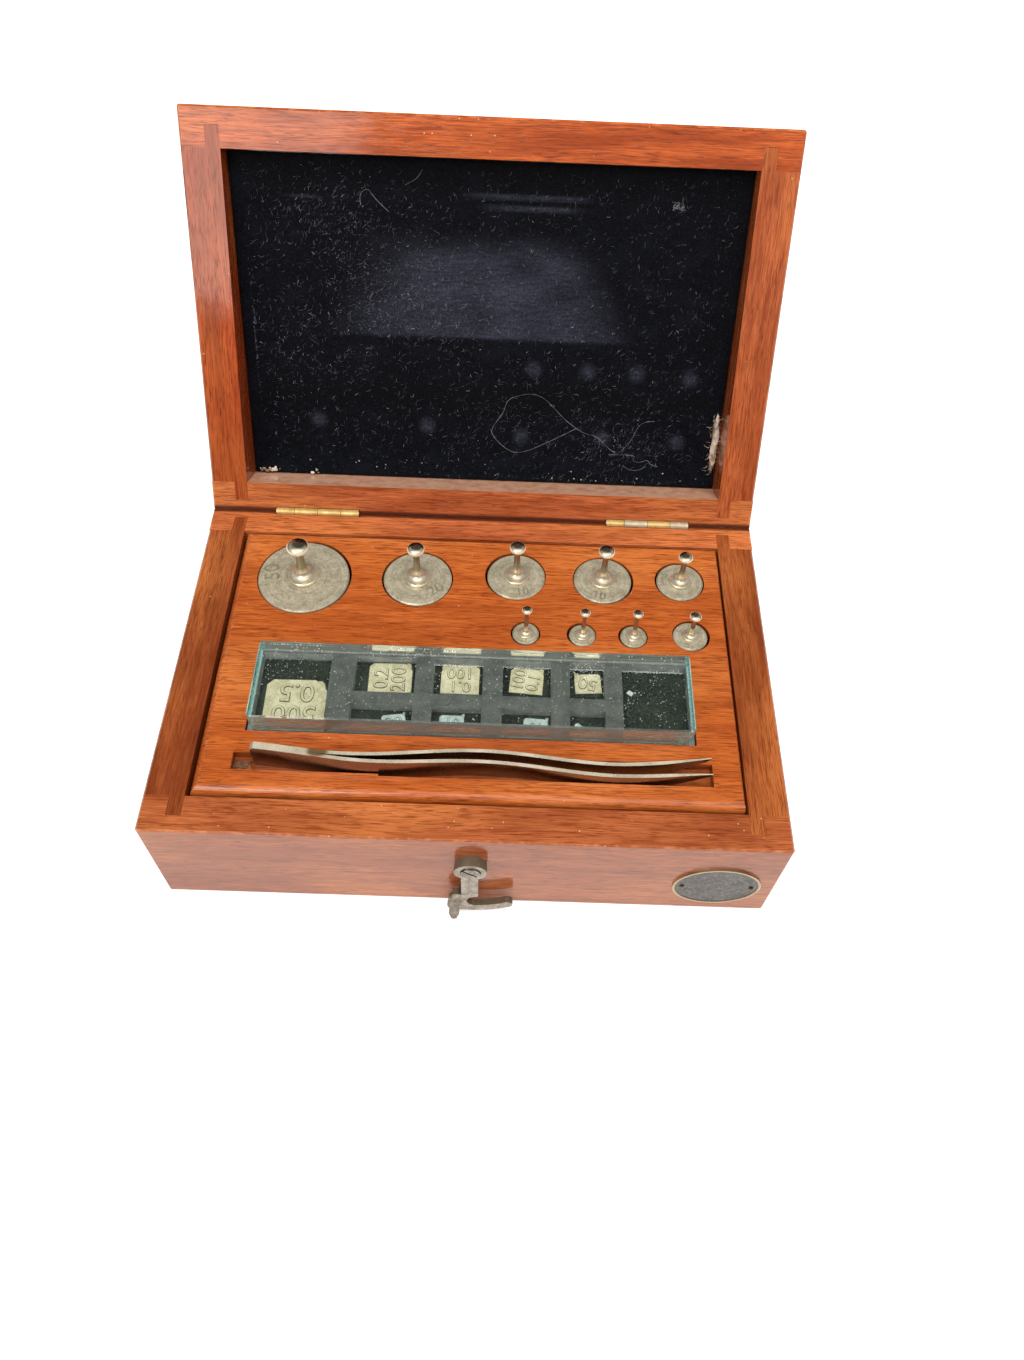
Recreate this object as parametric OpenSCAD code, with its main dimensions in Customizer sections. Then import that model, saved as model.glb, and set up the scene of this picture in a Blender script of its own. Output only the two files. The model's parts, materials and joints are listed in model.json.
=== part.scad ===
// Boxed set of analytical weights. A hinged hardwood case holds a drilled block with
// knobbed brass weights, a glass covered grid of sheet weights and a pair of tweezers.
// The case is drawn open, and its origin is the middle of its underside.

/* [Case] */
// Width of the case, left to right
case_w = 140; // [130:1:170]
// Depth of the case, front to back
case_d = 93.7; // [88:0.1:115]
// Height of the base, underside to rim
base_h = 31.5; // [26:0.5:40]
// Thickness of the left and right boards
end_t = 9; // [7:0.5:11]
// Thickness of the front and back boards
wall_t = 8.5; // [7:0.5:11]
// Thickness of the bottom board and of the lid panel
panel_t = 4; // [3:0.5:5]
// Width of the rebate that holds the bottom board and the lid panel
rebate_w = 3.2; // [2:0.1:4]
// Thickness of the tongue on each end board
tongue_t = 3.2; // [2:0.1:4]
// Length of the tongue that enters the front and back boards
tongue_l = 4.7; // [3:0.1:6]
// Width of the softened outer edges
edge = 0.45; // [0.2:0.05:1]
// Angle at which the bevelled back edges stop the lid
open_angle = 118.7; // [100:0.1:125]
// Gap between the two rims when the case is shut
rim_gap = 0.2; // [0.1:0.05:0.5]
// Play round parts that lie loose in the wood
play = 0.2; // [0.1:0.05:0.4]

/* [Weight block] */
// Gap between the block and the front board
block_front_gap = 1.3; // [0.5:0.1:2]
// Gap between the block and the other three boards
block_gap = 0.4; // [0.2:0.1:1]
// Depth of the block's top below the rim
block_drop = 0.1; // [0:0.05:1]
// Radius of the block's front and left top edges
block_round = 2.4; // [0.5:0.1:3]
// Radius of the block's back and right top edges
block_back_round = 0.8; // [0.3:0.1:2]
// Play between a weight and its socket
socket_play = 0.4; // [0.3:0.05:0.6]

/* [Knobbed weights] */
// Density of the plated brass in grams per cubic millimetre
brass_density = 0.0084; // [0.008:0.0001:0.0088]
// Height of the tallest knob above the block
tallest_knob = 12.3; // [9:0.1:14]
// Height of the ring flange under each knob, as a share of its radius
flange_share = 0.26; // [0.1:0.02:0.34]
// Width of the small bevel round the top of each body
body_edge = 0.35; // [0.1:0.05:0.6]

/* [Sheet weights] */
// Margin of block left at each end of the glass
glass_margin = 10.5; // [6:0.1:15]
// Depth of the cover glass, front to back
glass_d = 21; // [19:0.1:26]
// Thickness of the cover glass
glass_t = 6.4; // [4:0.1:8]
// Depth of the glass below the top of the block
glass_seat = 1.2; // [0.5:0.1:3]
// Gap between the glass and the long sides of its recess
glass_play = 0.5; // [0.3:0.05:1]
// Gap between the glass and the ends of its recess
glass_end_play = 0.9; // [0.3:0.05:1.5]
// Thickness of the black grid under the glass
grid_t = 2.8; // [2:0.1:4]
// Thickness of the velvet under the grid
grid_velvet_t = 0.5; // [0.3:0.1:1]
// Width of the bar between the back and front rows
grid_bar = 3.2; // [2:0.1:5]
// Width of the border of the grid
grid_border = 1.1; // [0.6:0.1:2]
// Depth of the back row of compartments
back_row_d = 10; // [8:0.1:12]
// Height of the turned up corner of each sheet
turned_corner = 1.1; // [0.5:0.1:1.4]

/* [Tweezers] */
// Length of the tweezers
tweezer_l = 101.4; // [80:0.1:106]
// Thickness of each arm
arm_t = 0.85; // [0.6:0.05:1.2]
// Width of the arms at the joined end
butt_w = 7.6; // [5:0.1:9]
// Width of the arms near the points
point_w = 4.8; // [3:0.1:6]
// Length over which the arms are joined
joined_l = 14.4; // [8:0.1:20]
// Clear distance between the points
point_gap = 2.95; // [1.9:0.05:3.1]
// Sway of the arms from a straight line
sway = 0.9; // [0:0.05:0.9]
// Depth of the slot that holds the tweezers
slot_depth = 2.3; // [1.5:0.1:4]

/* [Hinges] */
// Length of each hinge
hinge_l = 21.5; // [15:0.5:30]
// Distance of each hinge's middle from the middle of the case
hinge_x = 43; // [30:0.5:50]
// Radius of the hinge barrel
barrel_r = 1; // [0.8:0.05:1.2]
// Radius of the hinge pin
pin_r = 0.5; // [0.3:0.05:0.6]
// Thickness of the leaves that sit in saw cuts
leaf_t = 0.6; // [0.4:0.05:0.8]
// Reach of each leaf from the hinge axis
leaf_l = 6; // [4:0.1:7]
// Distance of the hinge axis from the back face
hinge_inset = 1.2; // [1.1:0.05:2]

/* [Hook] */
// Thickness of the hook
hook_t = 1.6; // [1:0.1:2.2]
// Thickness of the washer behind the hook
washer_t = 0.8; // [0.4:0.1:1.2]
// Radius of the hook's eye
eye_r = 3.65; // [3:0.05:4.5]
// Radius of the pivot screw's shank
pivot_r = 1.3; // [1:0.05:1.6]
// Radius from the pivot to the inner edge of the claw
claw_r = 16.5; // [14:0.1:18]
// Width of the claw
claw_w = 2.5; // [1.8:0.1:3]
// Height of the hook's pivot
pivot_z = 20.7; // [20:0.1:24]
// Forward bend of the hook's shank in degrees
hook_bend = 3; // [0:0.5:4]

/* [Maker's plate] */
// Width of the oval plate
plate_w = 19.9; // [14:0.1:24]
// Height of the oval plate
plate_h = 17.8; // [12:0.1:20]
// Thickness of the oval plate
plate_t = 0.5; // [0.3:0.05:1]

/* [Hidden] */
$fn = 64;
eps = 0.01;

// Case
half_w = case_w / 2;
half_d = case_d / 2;
opening_w = case_w - 2 * end_t;
opening_d = case_d - 2 * wall_t;
hinge_y = half_d - hinge_inset;
hinge_z = base_h + rim_gap / 2;
bevel_angle = open_angle / 2 + 0.15;
bevel_play = 0.04;
fit = 0.03;

// Lid
lining_t = 1.6;
lining_play = 0.3;
knob_room = 0.3;
lid_rim = base_h + rim_gap;
lining_z = base_h - block_drop + tallest_knob + knob_room;
lid_top = lining_z + lining_t + panel_t;

// Weight block
block_w = opening_w - 2 * block_gap;
block_y0 = -opening_d / 2 + block_front_gap;
block_y1 = opening_d / 2 - block_gap;
block_d = block_y1 - block_y0;
block_top = base_h - block_drop;

// Knobbed weights: label, grams, body radius, place across, place back as shares of the
// block, ball radius, height of the ball's centre as a share of the tallest, flange radius, and
// how far the weight lies from the middle of its socket
WEIGHTS = [
    ["50g", 50, 11.3, -0.36, 0.314, 2.75, 0.776, 3.8, [-0.25, 0.1]],
    ["20g", 20, 8.5, -0.128, 0.323, 2.15, 0.792, 3.3, [0.05, 0.17]],
    ["10g_a", 10, 7.25, 0.074, 0.349, 2.0, 0.79, 3.15, [0.22, 0]],
    ["10g_b", 10, 7.25, 0.256, 0.344, 2.0, 0.79, 3.15, [-0.15, 0.18]],
    ["5g", 5, 5.85, 0.415, 0.35, 1.78, 0.68, 2.6, [0.12, 0.1]],
    ["2g", 2, 4.2, 0.429, 0.124, 1.43, 0.57, 1.95, [-0.2, 0]],
    ["1g_a", 1, 3.2, 0.097, 0.11, 1.24, 0.67, 1.85, [0.05, 0.24]],
    ["1g_b", 1, 3.2, 0.209, 0.113, 1.24, 0.65, 1.85, [0.24, 0.05]],
    ["1g_c", 1, 3.2, 0.312, 0.113, 1.24, 0.66, 1.85, [0.18, 0.16]]
];
weight_gap = 0.02;
spigot_share = 0.5;

// Grid under the glass
glass_w = block_w - 2 * glass_margin;
glass_y = -10.3 * block_d / 75;
recess_w = glass_w + 2 * glass_end_play;
recess_d = glass_d + 2 * glass_play;
recess_depth = glass_seat + grid_t + grid_velvet_t;
grid_w = recess_w - 2 * play;
grid_d = recess_d - 2 * play;
grid_z = block_top - glass_seat - grid_t;
front_row_d = grid_d - 2 * grid_border - grid_bar - back_row_d;

// Grid columns: share of the clear width, then rows. The bars between columns follow.
COLUMNS = [[16.2, 1], [14.1, 2], [11.4, 2], [11.25, 2], [8.1, 2], [15.2, 1]];
BARS = [5.6, 4.3, 4.7, 4.35, 4.1];
bars_w = BARS[0] + BARS[1] + BARS[2] + BARS[3] + BARS[4];
columns_sum = COLUMNS[0][0] + COLUMNS[1][0] + COLUMNS[2][0] + COLUMNS[3][0] + COLUMNS[4][0]
    + COLUMNS[5][0];
column_scale = (grid_w - 2 * grid_border - bars_w) / columns_sum;

// Sheet weights: label, milligrams, metal, width, depth, column, row, shift across,
// shift back, turn, side of the turned up corner
ALLOY = 0.0086;
ALUMINIUM = 0.0027;
SHEETS = [
    ["500mg", 500, ALLOY, 14, 12.8, 0, 0, 0.6, -2.6, 1, 1],
    ["200mg", 200, ALLOY, 10.1, 8.7, 1, 0, 1.1, 0.4, 1, 1],
    ["100mg_a", 100, ALLOY, 9, 8, 2, 0, 0.4, 0.9, 0, -1],
    ["100mg_b", 100, ALLOY, 7.8, 7, 3, 0, 0, 1.1, -4, 1],
    ["50mg", 50, ALLOY, 6.2, 5.4, 4, 0, 0.4, 1.0, 4, -1],
    ["20mg", 20, ALUMINIUM, 5.4, 4.2, 1, 1, 2.9, -0.3, 8, 1],
    ["10mg_a", 10, ALUMINIUM, 5.6, 4.2, 2, 1, -1.0, 0.1, 0, 1],
    ["10mg_b", 10, ALUMINIUM, 5.6, 4.2, 3, 1, 2.2, 0, -3, 1],
    ["5mg", 5, ALUMINIUM, 3, 2.3, 4, 1, -1.7, -0.4, -30, 1],
    ["1mg", 1, ALUMINIUM, 1.4, 1.1, 5, 0, -5.5, 3.4, -38, 0]
];
sheet_gap = 0.02;
corner_cut = 0.22;
corner_angle = 50;

// Tweezers
tweezer_x0 = -47.9;
tweezer_y = -28.8 * block_d / 75;
tweezer_floor = block_top - slot_depth;
sway_pitch = 56;
sway_middle = 3.5;
fork_x = tweezer_x0 + joined_l;
tip_x = tweezer_x0 + tweezer_l;
point_taper_l = 11;
fork_spread = 0.93;
fork_l = 40;
slot_step_x = -20;
slot_front = 2.5;
slot_back = 1.9;
wide_slot_front = 3;
wide_slot_back = 2.7;
slot_end_play = 0.5;
slot_start_play = 4.6;

// Hinges
KNUCKLES = [0, 4.75, 10.75, 16.75, 21.5];
knuckle_gap = 0.06;
pin_play = 0.04;
barrel_play = 0.15;

// Hook
pivot_x = 1;
hook_y = -half_d - washer_t;
pivot_play = 0.05;
shank_left = 2.1;
shank_right = 1.75;
mouth_r = 2.2;
mouth_middle = claw_r - mouth_r;
screw_head_r = 2.2;
screw_head_t = 0.9;
head_sink = 0.6;
screw_l = 6;
bush_r = 2.1;
bush_bore_r = 1.1;
bush_l = 5;
bush_x = pivot_x - 1.35;
bush_z = pivot_z + mouth_middle + 0.4;

// Maker's plate
plate_x = 56.6;
plate_z = 13;
plate_pin_x = 7.85;
plate_pin_r = 0.35;
plate_pin_l = 3;
plate_rim = 0.5;

// Colours
MAHOGANY = "#a4532c";
MAHOGANY_DARK = "#8a4226";
VELVET = "#14161c";
NICKEL = "#b9b29c";
BRASS = "#b39a5a";
STEEL = "#8d8f92";

WEIGHT_COUNT = len(WEIGHTS);
SHEET_COUNT = len(SHEETS);

function body_name(i) = str("weight_", WEIGHTS[i][0], "_body");
function knob_name(i) = str("weight_", WEIGHTS[i][0], "_knob");
function sheet_name(i) = str("sheet_", SHEETS[i][0]);

// Helpers

// Extrudes a drawing of depth and height along the width
module along_x(length) {
    rotate([90, 0, 90])
        linear_extrude(length, center = true)
            children();
}

// Extrudes a drawing of width and height along the depth
module along_y(length) {
    rotate([90, 0, 0])
        linear_extrude(length, center = true)
            children();
}

module box(x0, x1, y0, y1, z0, z1) {
    translate([x0, y0, z0])
        cube([x1 - x0, y1 - y0, z1 - z0]);
}

// Rectangle with its four corners cut, low and high ones each by their own size
function cut_corners(half, z0, z1, low, high) = [
    [-half + low, z0], [half - low, z0], [half, z0 + low], [half, z1 - high],
    [half - high, z1], [-half + high, z1], [-half, z1 - high], [-half, z0 + low]
];

// Block with softened edges between two heights
module soft_block(w, d, z0, z1, corner, low, high) {
    intersection() {
        translate([0, 0, z0])
            linear_extrude(z1 - z0)
                polygon(cut_corners(w / 2, -d / 2, d / 2, corner, corner));
        along_y(d)
            polygon(cut_corners(w / 2, z0, z1, low, high));
        along_x(w)
            polygon(cut_corners(d / 2, z0, z1, low, high));
    }
}

// Turns what is drawn shut to where the open lid rests
module opened() {
    translate([0, hinge_y, hinge_z])
        rotate([-open_angle, 0, 0])
            translate([0, -hinge_y, -hinge_z])
                children();
}

// Case boards

// Front board of a frame between two heights, grooved for the tongues of the end boards
module cross_board(z0, z1, low, high, side) {
    inner = opening_d / 2;
    difference() {
        intersection() {
            soft_block(case_w, case_d, z0, z1, edge, low, high);
            box(-half_w, half_w, side > 0 ? inner : -half_d, side > 0 ? half_d : -inner, z0, z1);
        }
        for (x = [-1, 1])
            tongue_space(x, side, z0 - eps, z1 + eps, fit);
    }
}

// Space that one tongue takes in the front or back board
module tongue_space(x, y, z0, z1, spare) {
    inner_x = opening_w / 2;
    inner_y = opening_d / 2;
    x0 = inner_x - spare;
    y0 = inner_y - (spare > 0 ? eps : 0);
    mirror([x < 0 ? 1 : 0, 0, 0])
        mirror([0, y < 0 ? 1 : 0, 0])
            box(x0, inner_x + tongue_t + spare, y0, inner_y + tongue_l + spare, z0, z1);
}

// End board of a frame between two heights, with its two tongues
module end_board(z0, z1, low, high, side) {
    inner = opening_w / 2;
    intersection() {
        soft_block(case_w, case_d, z0, z1, edge, low, high);
        box(side > 0 ? inner : -half_w, side > 0 ? half_w : -inner,
            -opening_d / 2, opening_d / 2, z0, z1);
    }
    for (y = [-1, 1])
        tongue_space(side, y, z0, z1, 0);
}

// Space for the bottom board or the lid panel, cut into the frame
module panel_space(z0, z1, spare) {
    w = opening_w + 2 * (rebate_w + spare);
    d = opening_d + 2 * (rebate_w + spare);
    box(-w / 2, w / 2, -d / 2, d / 2, z0, z1);
}

// Slope along the back edge. On the base it falls away from the axis, on the lid it climbs.
module back_bevel(up) {
    reach = 6;
    along_x(case_w + 2)
        translate([hinge_y, hinge_z])
            mirror([0, up ? 1 : 0])
                rotate(-bevel_angle)
                    translate([0, -bevel_play])
                        square([reach, reach]);
}

// Room in the wood for one hinge: the barrel's cove and the leaf's saw cut
module hinge_room(up) {
    for (x = [-hinge_x, hinge_x])
        translate([x, hinge_y, hinge_z]) {
            along_x(hinge_l + 2 * barrel_play)
                circle(barrel_r + barrel_play);
            along_x(hinge_l + 2 * fit)
                rotate(up ? 135 : 225)
                    translate([0, -leaf_t / 2 - fit])
                        square([leaf_l + play, leaf_t + 2 * fit]);
        }
}

module base_front() {
    color(MAHOGANY)
        difference() {
            cross_board(0, base_h, edge, edge, -1);
            panel_space(-eps, panel_t, fit);
            translate([pivot_x, -half_d + screw_l, pivot_z])
                rotate([90, 0, 0])
                    cylinder(h = screw_l + 1, r = pivot_r + fit);
            for (x = [-plate_pin_x, plate_pin_x])
                translate([plate_x + x, -half_d + plate_pin_l, plate_z])
                    rotate([90, 0, 0])
                        cylinder(h = plate_pin_l + 1, r = plate_pin_r + fit);
        }
}

module base_back() {
    color(MAHOGANY)
        difference() {
            cross_board(0, base_h, edge, 0, 1);
            panel_space(-eps, panel_t, fit);
            back_bevel(false);
            hinge_room(false);
        }
}

module base_end(side) {
    color(MAHOGANY_DARK)
        difference() {
            end_board(0, base_h, edge, edge, side);
            panel_space(-eps, panel_t, fit);
            back_bevel(false);
        }
}

module base_left() {
    base_end(-1);
}

module base_right() {
    base_end(1);
}

module base_bottom() {
    color(MAHOGANY_DARK)
        panel_space(0, panel_t, -play / 2);
}

module lid_front() {
    color(MAHOGANY)
        opened()
            difference() {
                cross_board(lid_rim, lid_top, edge, 2 * edge, -1);
                panel_space(lid_top - panel_t, lid_top + eps, fit);
                translate([bush_x, -half_d + bush_l, bush_z])
                    rotate([90, 0, 0])
                        cylinder(h = bush_l + 1, r = bush_r + fit);
            }
}

module lid_back() {
    color(MAHOGANY)
        opened()
            difference() {
                cross_board(lid_rim, lid_top, 0, 2 * edge, 1);
                panel_space(lid_top - panel_t, lid_top + eps, fit);
                back_bevel(true);
                hinge_room(true);
            }
}

module lid_end(side) {
    color(MAHOGANY_DARK)
        opened()
            difference() {
                end_board(lid_rim, lid_top, edge, 2 * edge, side);
                panel_space(lid_top - panel_t, lid_top + eps, fit);
                back_bevel(true);
            }
}

module lid_left() {
    lid_end(-1);
}

module lid_right() {
    lid_end(1);
}

module lid_panel() {
    color(MAHOGANY)
        opened()
            panel_space(lid_top - panel_t, lid_top, -play / 2);
}

module lid_lining() {
    w = opening_w - 2 * lining_play;
    d = opening_d - 2 * lining_play;
    color(VELVET)
        opened()
            box(-w / 2, w / 2, -d / 2, d / 2, lining_z, lining_z + lining_t - eps);
}

// Weight block

// Upright outline whose two top corners are rounded, the first at the low end
module round_top(w0, w1, h0, h1, r0, r1) {
    difference() {
        translate([w0, h0])
            square([w1 - w0, h1 - h0]);
        translate([w0 - eps, h1 - r0])
            square([r0 + eps, r0 + eps]);
        translate([w1 - r1, h1 - r1])
            square([r1 + eps, r1 + eps]);
    }
    translate([w0 + r0, h1 - r0])
        circle(r0);
    translate([w1 - r1, h1 - r1])
        circle(r1);
}

function weight_place(i) = [WEIGHTS[i][3] * block_w, block_y0 + (0.5 + WEIGHTS[i][4]) * block_d];

// Each weight lies a little to one side of its socket
function weight_rest(i) = weight_place(i) + WEIGHTS[i][8];

module weight_sockets() {
    for (i = [0 : WEIGHT_COUNT - 1])
        translate([weight_place(i)[0], weight_place(i)[1], block_top - body_h(i) - weight_gap])
            cylinder(h = body_h(i) + 1, r = WEIGHTS[i][2] + socket_play);
}

module tweezer_slot() {
    z0 = tweezer_floor;
    z1 = block_top + 1;
    box(tweezer_x0 - slot_start_play, slot_step_x, tweezer_y - slot_front,
        tweezer_y + slot_back, z0, z1);
    box(slot_step_x - eps, tip_x + slot_end_play, tweezer_y - wide_slot_front,
        tweezer_y + wide_slot_back, z0, z1);
}

module weight_block() {
    color(MAHOGANY)
        difference() {
            intersection() {
                along_x(block_w)
                    round_top(block_y0, block_y1, panel_t, block_top, block_round, block_back_round);
                along_y(case_d)
                    round_top(-block_w / 2, block_w / 2, panel_t, block_top, block_round,
                        block_back_round);
            }
            weight_sockets();
            translate([0, glass_y, 0])
                box(-recess_w / 2, recess_w / 2, -recess_d / 2, recess_d / 2,
                    block_top - recess_depth, block_top + 1);
            tweezer_slot();
        }
}

// Sheet weights, their grid and the glass

function column_w(c) = COLUMNS[c][0] * column_scale;
function column_x0(c) = c == 0 ? -grid_w / 2 + grid_border
    : column_x0(c - 1) + column_w(c - 1) + BARS[c - 1];
back_row_y = glass_y + grid_d / 2 - grid_border - back_row_d / 2;
front_row_y = glass_y - grid_d / 2 + grid_border + front_row_d / 2;

module grid_window(c, middle, d) {
    box(column_x0(c), column_x0(c) + column_w(c), middle - d / 2, middle + d / 2,
        grid_z - 1, grid_z + grid_t + 1);
}

module sheet_grid() {
    color("#3b3d3f")
        difference() {
            box(-grid_w / 2, grid_w / 2, glass_y - grid_d / 2, glass_y + grid_d / 2,
                grid_z, grid_z + grid_t);
            for (c = [0 : len(COLUMNS) - 1])
                if (COLUMNS[c][1] == 1) {
                    grid_window(c, glass_y, grid_d - 2 * grid_border);
                } else {
                    grid_window(c, back_row_y, back_row_d);
                    grid_window(c, front_row_y, front_row_d);
                }
        }
}

module grid_velvet() {
    color(VELVET)
        box(-grid_w / 2, grid_w / 2, glass_y - grid_d / 2, glass_y + grid_d / 2,
            grid_z - grid_velvet_t, grid_z);
}

module cover_glass() {
    glass_edge = 0.35;
    glass_corner = 0.9;
    z0 = block_top - glass_seat;
    color("#9fc4b8", 0.5)
        translate([0, glass_y, 0])
            soft_block(glass_w, glass_d, z0, z0 + glass_t, glass_corner, glass_edge, glass_edge);
}

// Thickness that gives a sheet of this area its nominal mass
function sheet_t(i) = SHEETS[i][1] / 1000 / SHEETS[i][2] / sheet_area(i);
function sheet_area(i) = SHEETS[i][3] * SHEETS[i][4] - 0.625 * pow(sheet_cut(i), 2)
    + (SHEETS[i][10] == 0 ? 0 : 0.78 * sheet_cut(i) * turned_corner);
function sheet_cut(i) = SHEETS[i][10] == 0 ? eps : corner_cut * SHEETS[i][4];
function sheet_row_y(i) = COLUMNS[SHEETS[i][5]][1] == 1 ? glass_y
    : SHEETS[i][6] == 0 ? back_row_y : front_row_y;

module sheet_outline(w, d, cut) {
    polygon([
        [-w / 2, -d / 2], [w / 2, -d / 2], [w / 2, d / 2 - cut], [w / 2 - cut, d / 2],
        [-w / 2 + cut / 2, d / 2], [-w / 2, d / 2 - cut / 2]
    ]);
}

// Corner of a sheet, turned up along its fold for the tweezers to grip
module turned_up(w, d, cut, t) {
    half_fold = 0.6 * cut;
    translate([w / 2 - cut / 2, d / 2 - cut / 2, 0])
        rotate([0, 0, 45])
            rotate([0, -corner_angle, 0])
                linear_extrude(t)
                    polygon([
                        [0, -half_fold], [turned_corner, -half_fold * 0.3],
                        [turned_corner, half_fold * 0.3], [0, half_fold]
                    ]);
}

module sheet_weight(i) {
    w = SHEETS[i][3];
    d = SHEETS[i][4];
    c = SHEETS[i][5];
    side = SHEETS[i][10];
    t = sheet_t(i);
    x = column_x0(c) + column_w(c) / 2 + SHEETS[i][7];
    color(SHEETS[i][2] == ALLOY ? "#c9c3a0" : "#c8ccca")
        translate([x, sheet_row_y(i) + SHEETS[i][8], grid_z + sheet_gap])
            rotate([0, 0, SHEETS[i][9]])
                mirror([side < 0 ? 1 : 0, 0, 0]) {
                    linear_extrude(t)
                        sheet_outline(w, d, sheet_cut(i));
                    if (side != 0)
                        turned_up(w, d, sheet_cut(i), t);
                }
}

// Knobbed weights

function ball_z(i) = tallest_knob * WEIGHTS[i][6];
function flange_h(i) = flange_share * WEIGHTS[i][7];
function flare_h(i) = 0.62 * WEIGHTS[i][7];
function stem_r(i) = 0.4 * WEIGHTS[i][5];
function knob_volume(i) = 4 / 3 * PI * pow(WEIGHTS[i][5], 3)
    + PI * pow(stem_r(i), 2) * ball_z(i)
    + PI * pow(WEIGHTS[i][7], 2) * (flange_h(i) + flare_h(i) * 0.3);
// Height that gives the body and its knob the nominal mass
function body_h(i) = (WEIGHTS[i][1] / brass_density - knob_volume(i)) / (PI * pow(WEIGHTS[i][2], 2));
function spigot_r(i) = 0.45 * WEIGHTS[i][7];
function spigot_h(i) = spigot_share * body_h(i);

module weight_body(i) {
    r = WEIGHTS[i][2];
    h = body_h(i);
    color(NICKEL)
        translate([weight_rest(i)[0], weight_rest(i)[1], block_top - h])
            rotate_extrude()
                difference() {
                    polygon([
                        [0, 0], [r - body_edge, 0], [r, body_edge], [r, h - body_edge],
                        [r - body_edge, h], [0, h]
                    ]);
                    translate([0, h - spigot_h(i) - fit])
                        square([spigot_r(i) + fit, spigot_h(i) + 1]);
                }
}

// Half outline of a knob: ball, tapering stem, concave flare, ring flange and spigot
module knob_outline(i) {
    ball_r = WEIGHTS[i][5];
    flange_r = WEIGHTS[i][7];
    rim = flange_h(i);
    corner = 0.2 * rim;
    flare_r = 0.9 * flange_r;
    flare = flare_h(i);
    stem = stem_r(i);
    sweep_r = (pow(flare_r - stem, 2) + pow(flare, 2)) / (2 * (flare_r - stem));
    intersection() {
        square([20, 60], center = false);
        union() {
            translate([0, ball_z(i)])
                circle(ball_r);
            polygon([
                [0, rim], [stem * 1.25, rim], [stem * 0.8, ball_z(i) - ball_r * 0.8],
                [0, ball_z(i)]
            ]);
            difference() {
                translate([0, rim])
                    square([flare_r, flare]);
                translate([stem + sweep_r, rim + flare])
                    circle(sweep_r);
            }
            polygon([
                [0, 0], [flange_r - corner, 0], [flange_r, corner], [flange_r, rim - corner],
                [flange_r - corner, rim], [0, rim]
            ]);
        }
    }
    translate([0, -spigot_h(i)])
        square([spigot_r(i), spigot_h(i) + flange_h(i) / 2]);
}

module weight_knob(i) {
    color(NICKEL)
        translate([weight_rest(i)[0], weight_rest(i)[1], block_top + eps])
            rotate_extrude()
                knob_outline(i);
}

// Tweezers

function sway_y(x) = tweezer_y + sway * cos(360 * (x - sway_middle) / sway_pitch);
// Half the distance between the middles of the two arms
function half_spread(x) = arm_t / 2
    + fork_spread * (1 - pow(1 - min(1, max(0, (x - fork_x) / fork_l)), 2))
    + (point_gap / 2 - fork_spread) * pow(max(0, (x - fork_x - fork_l) / (tip_x - fork_x - fork_l)), 3);
ARM_STEPS = 40;
function arm_x(k) = tweezer_x0 + tweezer_l * k / ARM_STEPS;
function arm_edge(side, out) = [
    for (k = [0 : ARM_STEPS])
        [arm_x(k), sway_y(arm_x(k)) + side * (half_spread(arm_x(k)) + out * arm_t / 2)]
];
function reversed(list) = [for (k = [len(list) - 1 : -1 : 0]) list[k]];
// Height of the arms' upper edge above the slot's floor
function blade_h(x) = butt_w + (point_w - butt_w) * min(1, (x - tweezer_x0) / 80);

module tweezer_arm(side) {
    taper_x = tip_x - point_taper_l;
    color(STEEL)
        intersection() {
            translate([0, 0, tweezer_floor + weight_gap])
                linear_extrude(butt_w)
                    polygon(concat(arm_edge(side, -1), reversed(arm_edge(side, 1))));
            along_y(case_d)
                translate([0, tweezer_floor + weight_gap])
                    polygon([
                        [tweezer_x0, 0.8], [tweezer_x0 + 0.8, 0], [taper_x, 0],
                        [tip_x - 1, point_w - 1.1], [tip_x, point_w - 0.5], [tip_x, point_w],
                        [tweezer_x0 + 80, blade_h(tweezer_x0 + 80)],
                        [tweezer_x0 + 0.8, butt_w - 0.1], [tweezer_x0, butt_w - 0.9]
                    ]);
        }
}

module tweezer_back_arm() {
    tweezer_arm(1);
}

module tweezer_front_arm() {
    tweezer_arm(-1);
}

// Hinges

// One hinge leaf, drawn shut: its plate and every second knuckle
module hinge_leaf(x, first, up) {
    color(BRASS)
        translate([x - hinge_l / 2, hinge_y, hinge_z])
            difference() {
                union() {
                    translate([hinge_l / 2, 0, 0])
                        along_x(hinge_l)
                            leaf_outline(up, barrel_r + 0.25);
                    for (k = [first, first + 2])
                        translate([knuckle_middle(k), 0, 0])
                            along_x(knuckle_length(k)) {
                                circle(barrel_r);
                                leaf_outline(up, barrel_r * 0.6);
                            }
                }
                translate([hinge_l / 2, 0, 0])
                    along_x(hinge_l + 1)
                        circle(pin_r + pin_play);
            }
}

module leaf_outline(up, start) {
    rotate(up ? 135 : 225)
        translate([start, -leaf_t / 2])
            square([leaf_l - start, leaf_t]);
}

knuckle_scale = hinge_l / KNUCKLES[4];
function knuckle_middle(k) = (KNUCKLES[k] + KNUCKLES[k + 1]) / 2 * knuckle_scale;
function knuckle_length(k) = (KNUCKLES[k + 1] - KNUCKLES[k]) * knuckle_scale - 2 * knuckle_gap;

module hinge_pin(x) {
    color(STEEL)
        translate([x, hinge_y, hinge_z])
            rotate([0, 90, 0])
                cylinder(h = hinge_l + barrel_play, r = pin_r, center = true);
}

module hinge_left_base_leaf() {
    hinge_leaf(-hinge_x, 0, false);
}

module hinge_left_lid_leaf() {
    opened()
        hinge_leaf(-hinge_x, 1, true);
}

module hinge_left_pin() {
    hinge_pin(-hinge_x);
}

module hinge_right_base_leaf() {
    hinge_leaf(hinge_x, 0, false);
}

module hinge_right_lid_leaf() {
    opened()
        hinge_leaf(hinge_x, 1, true);
}

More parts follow.
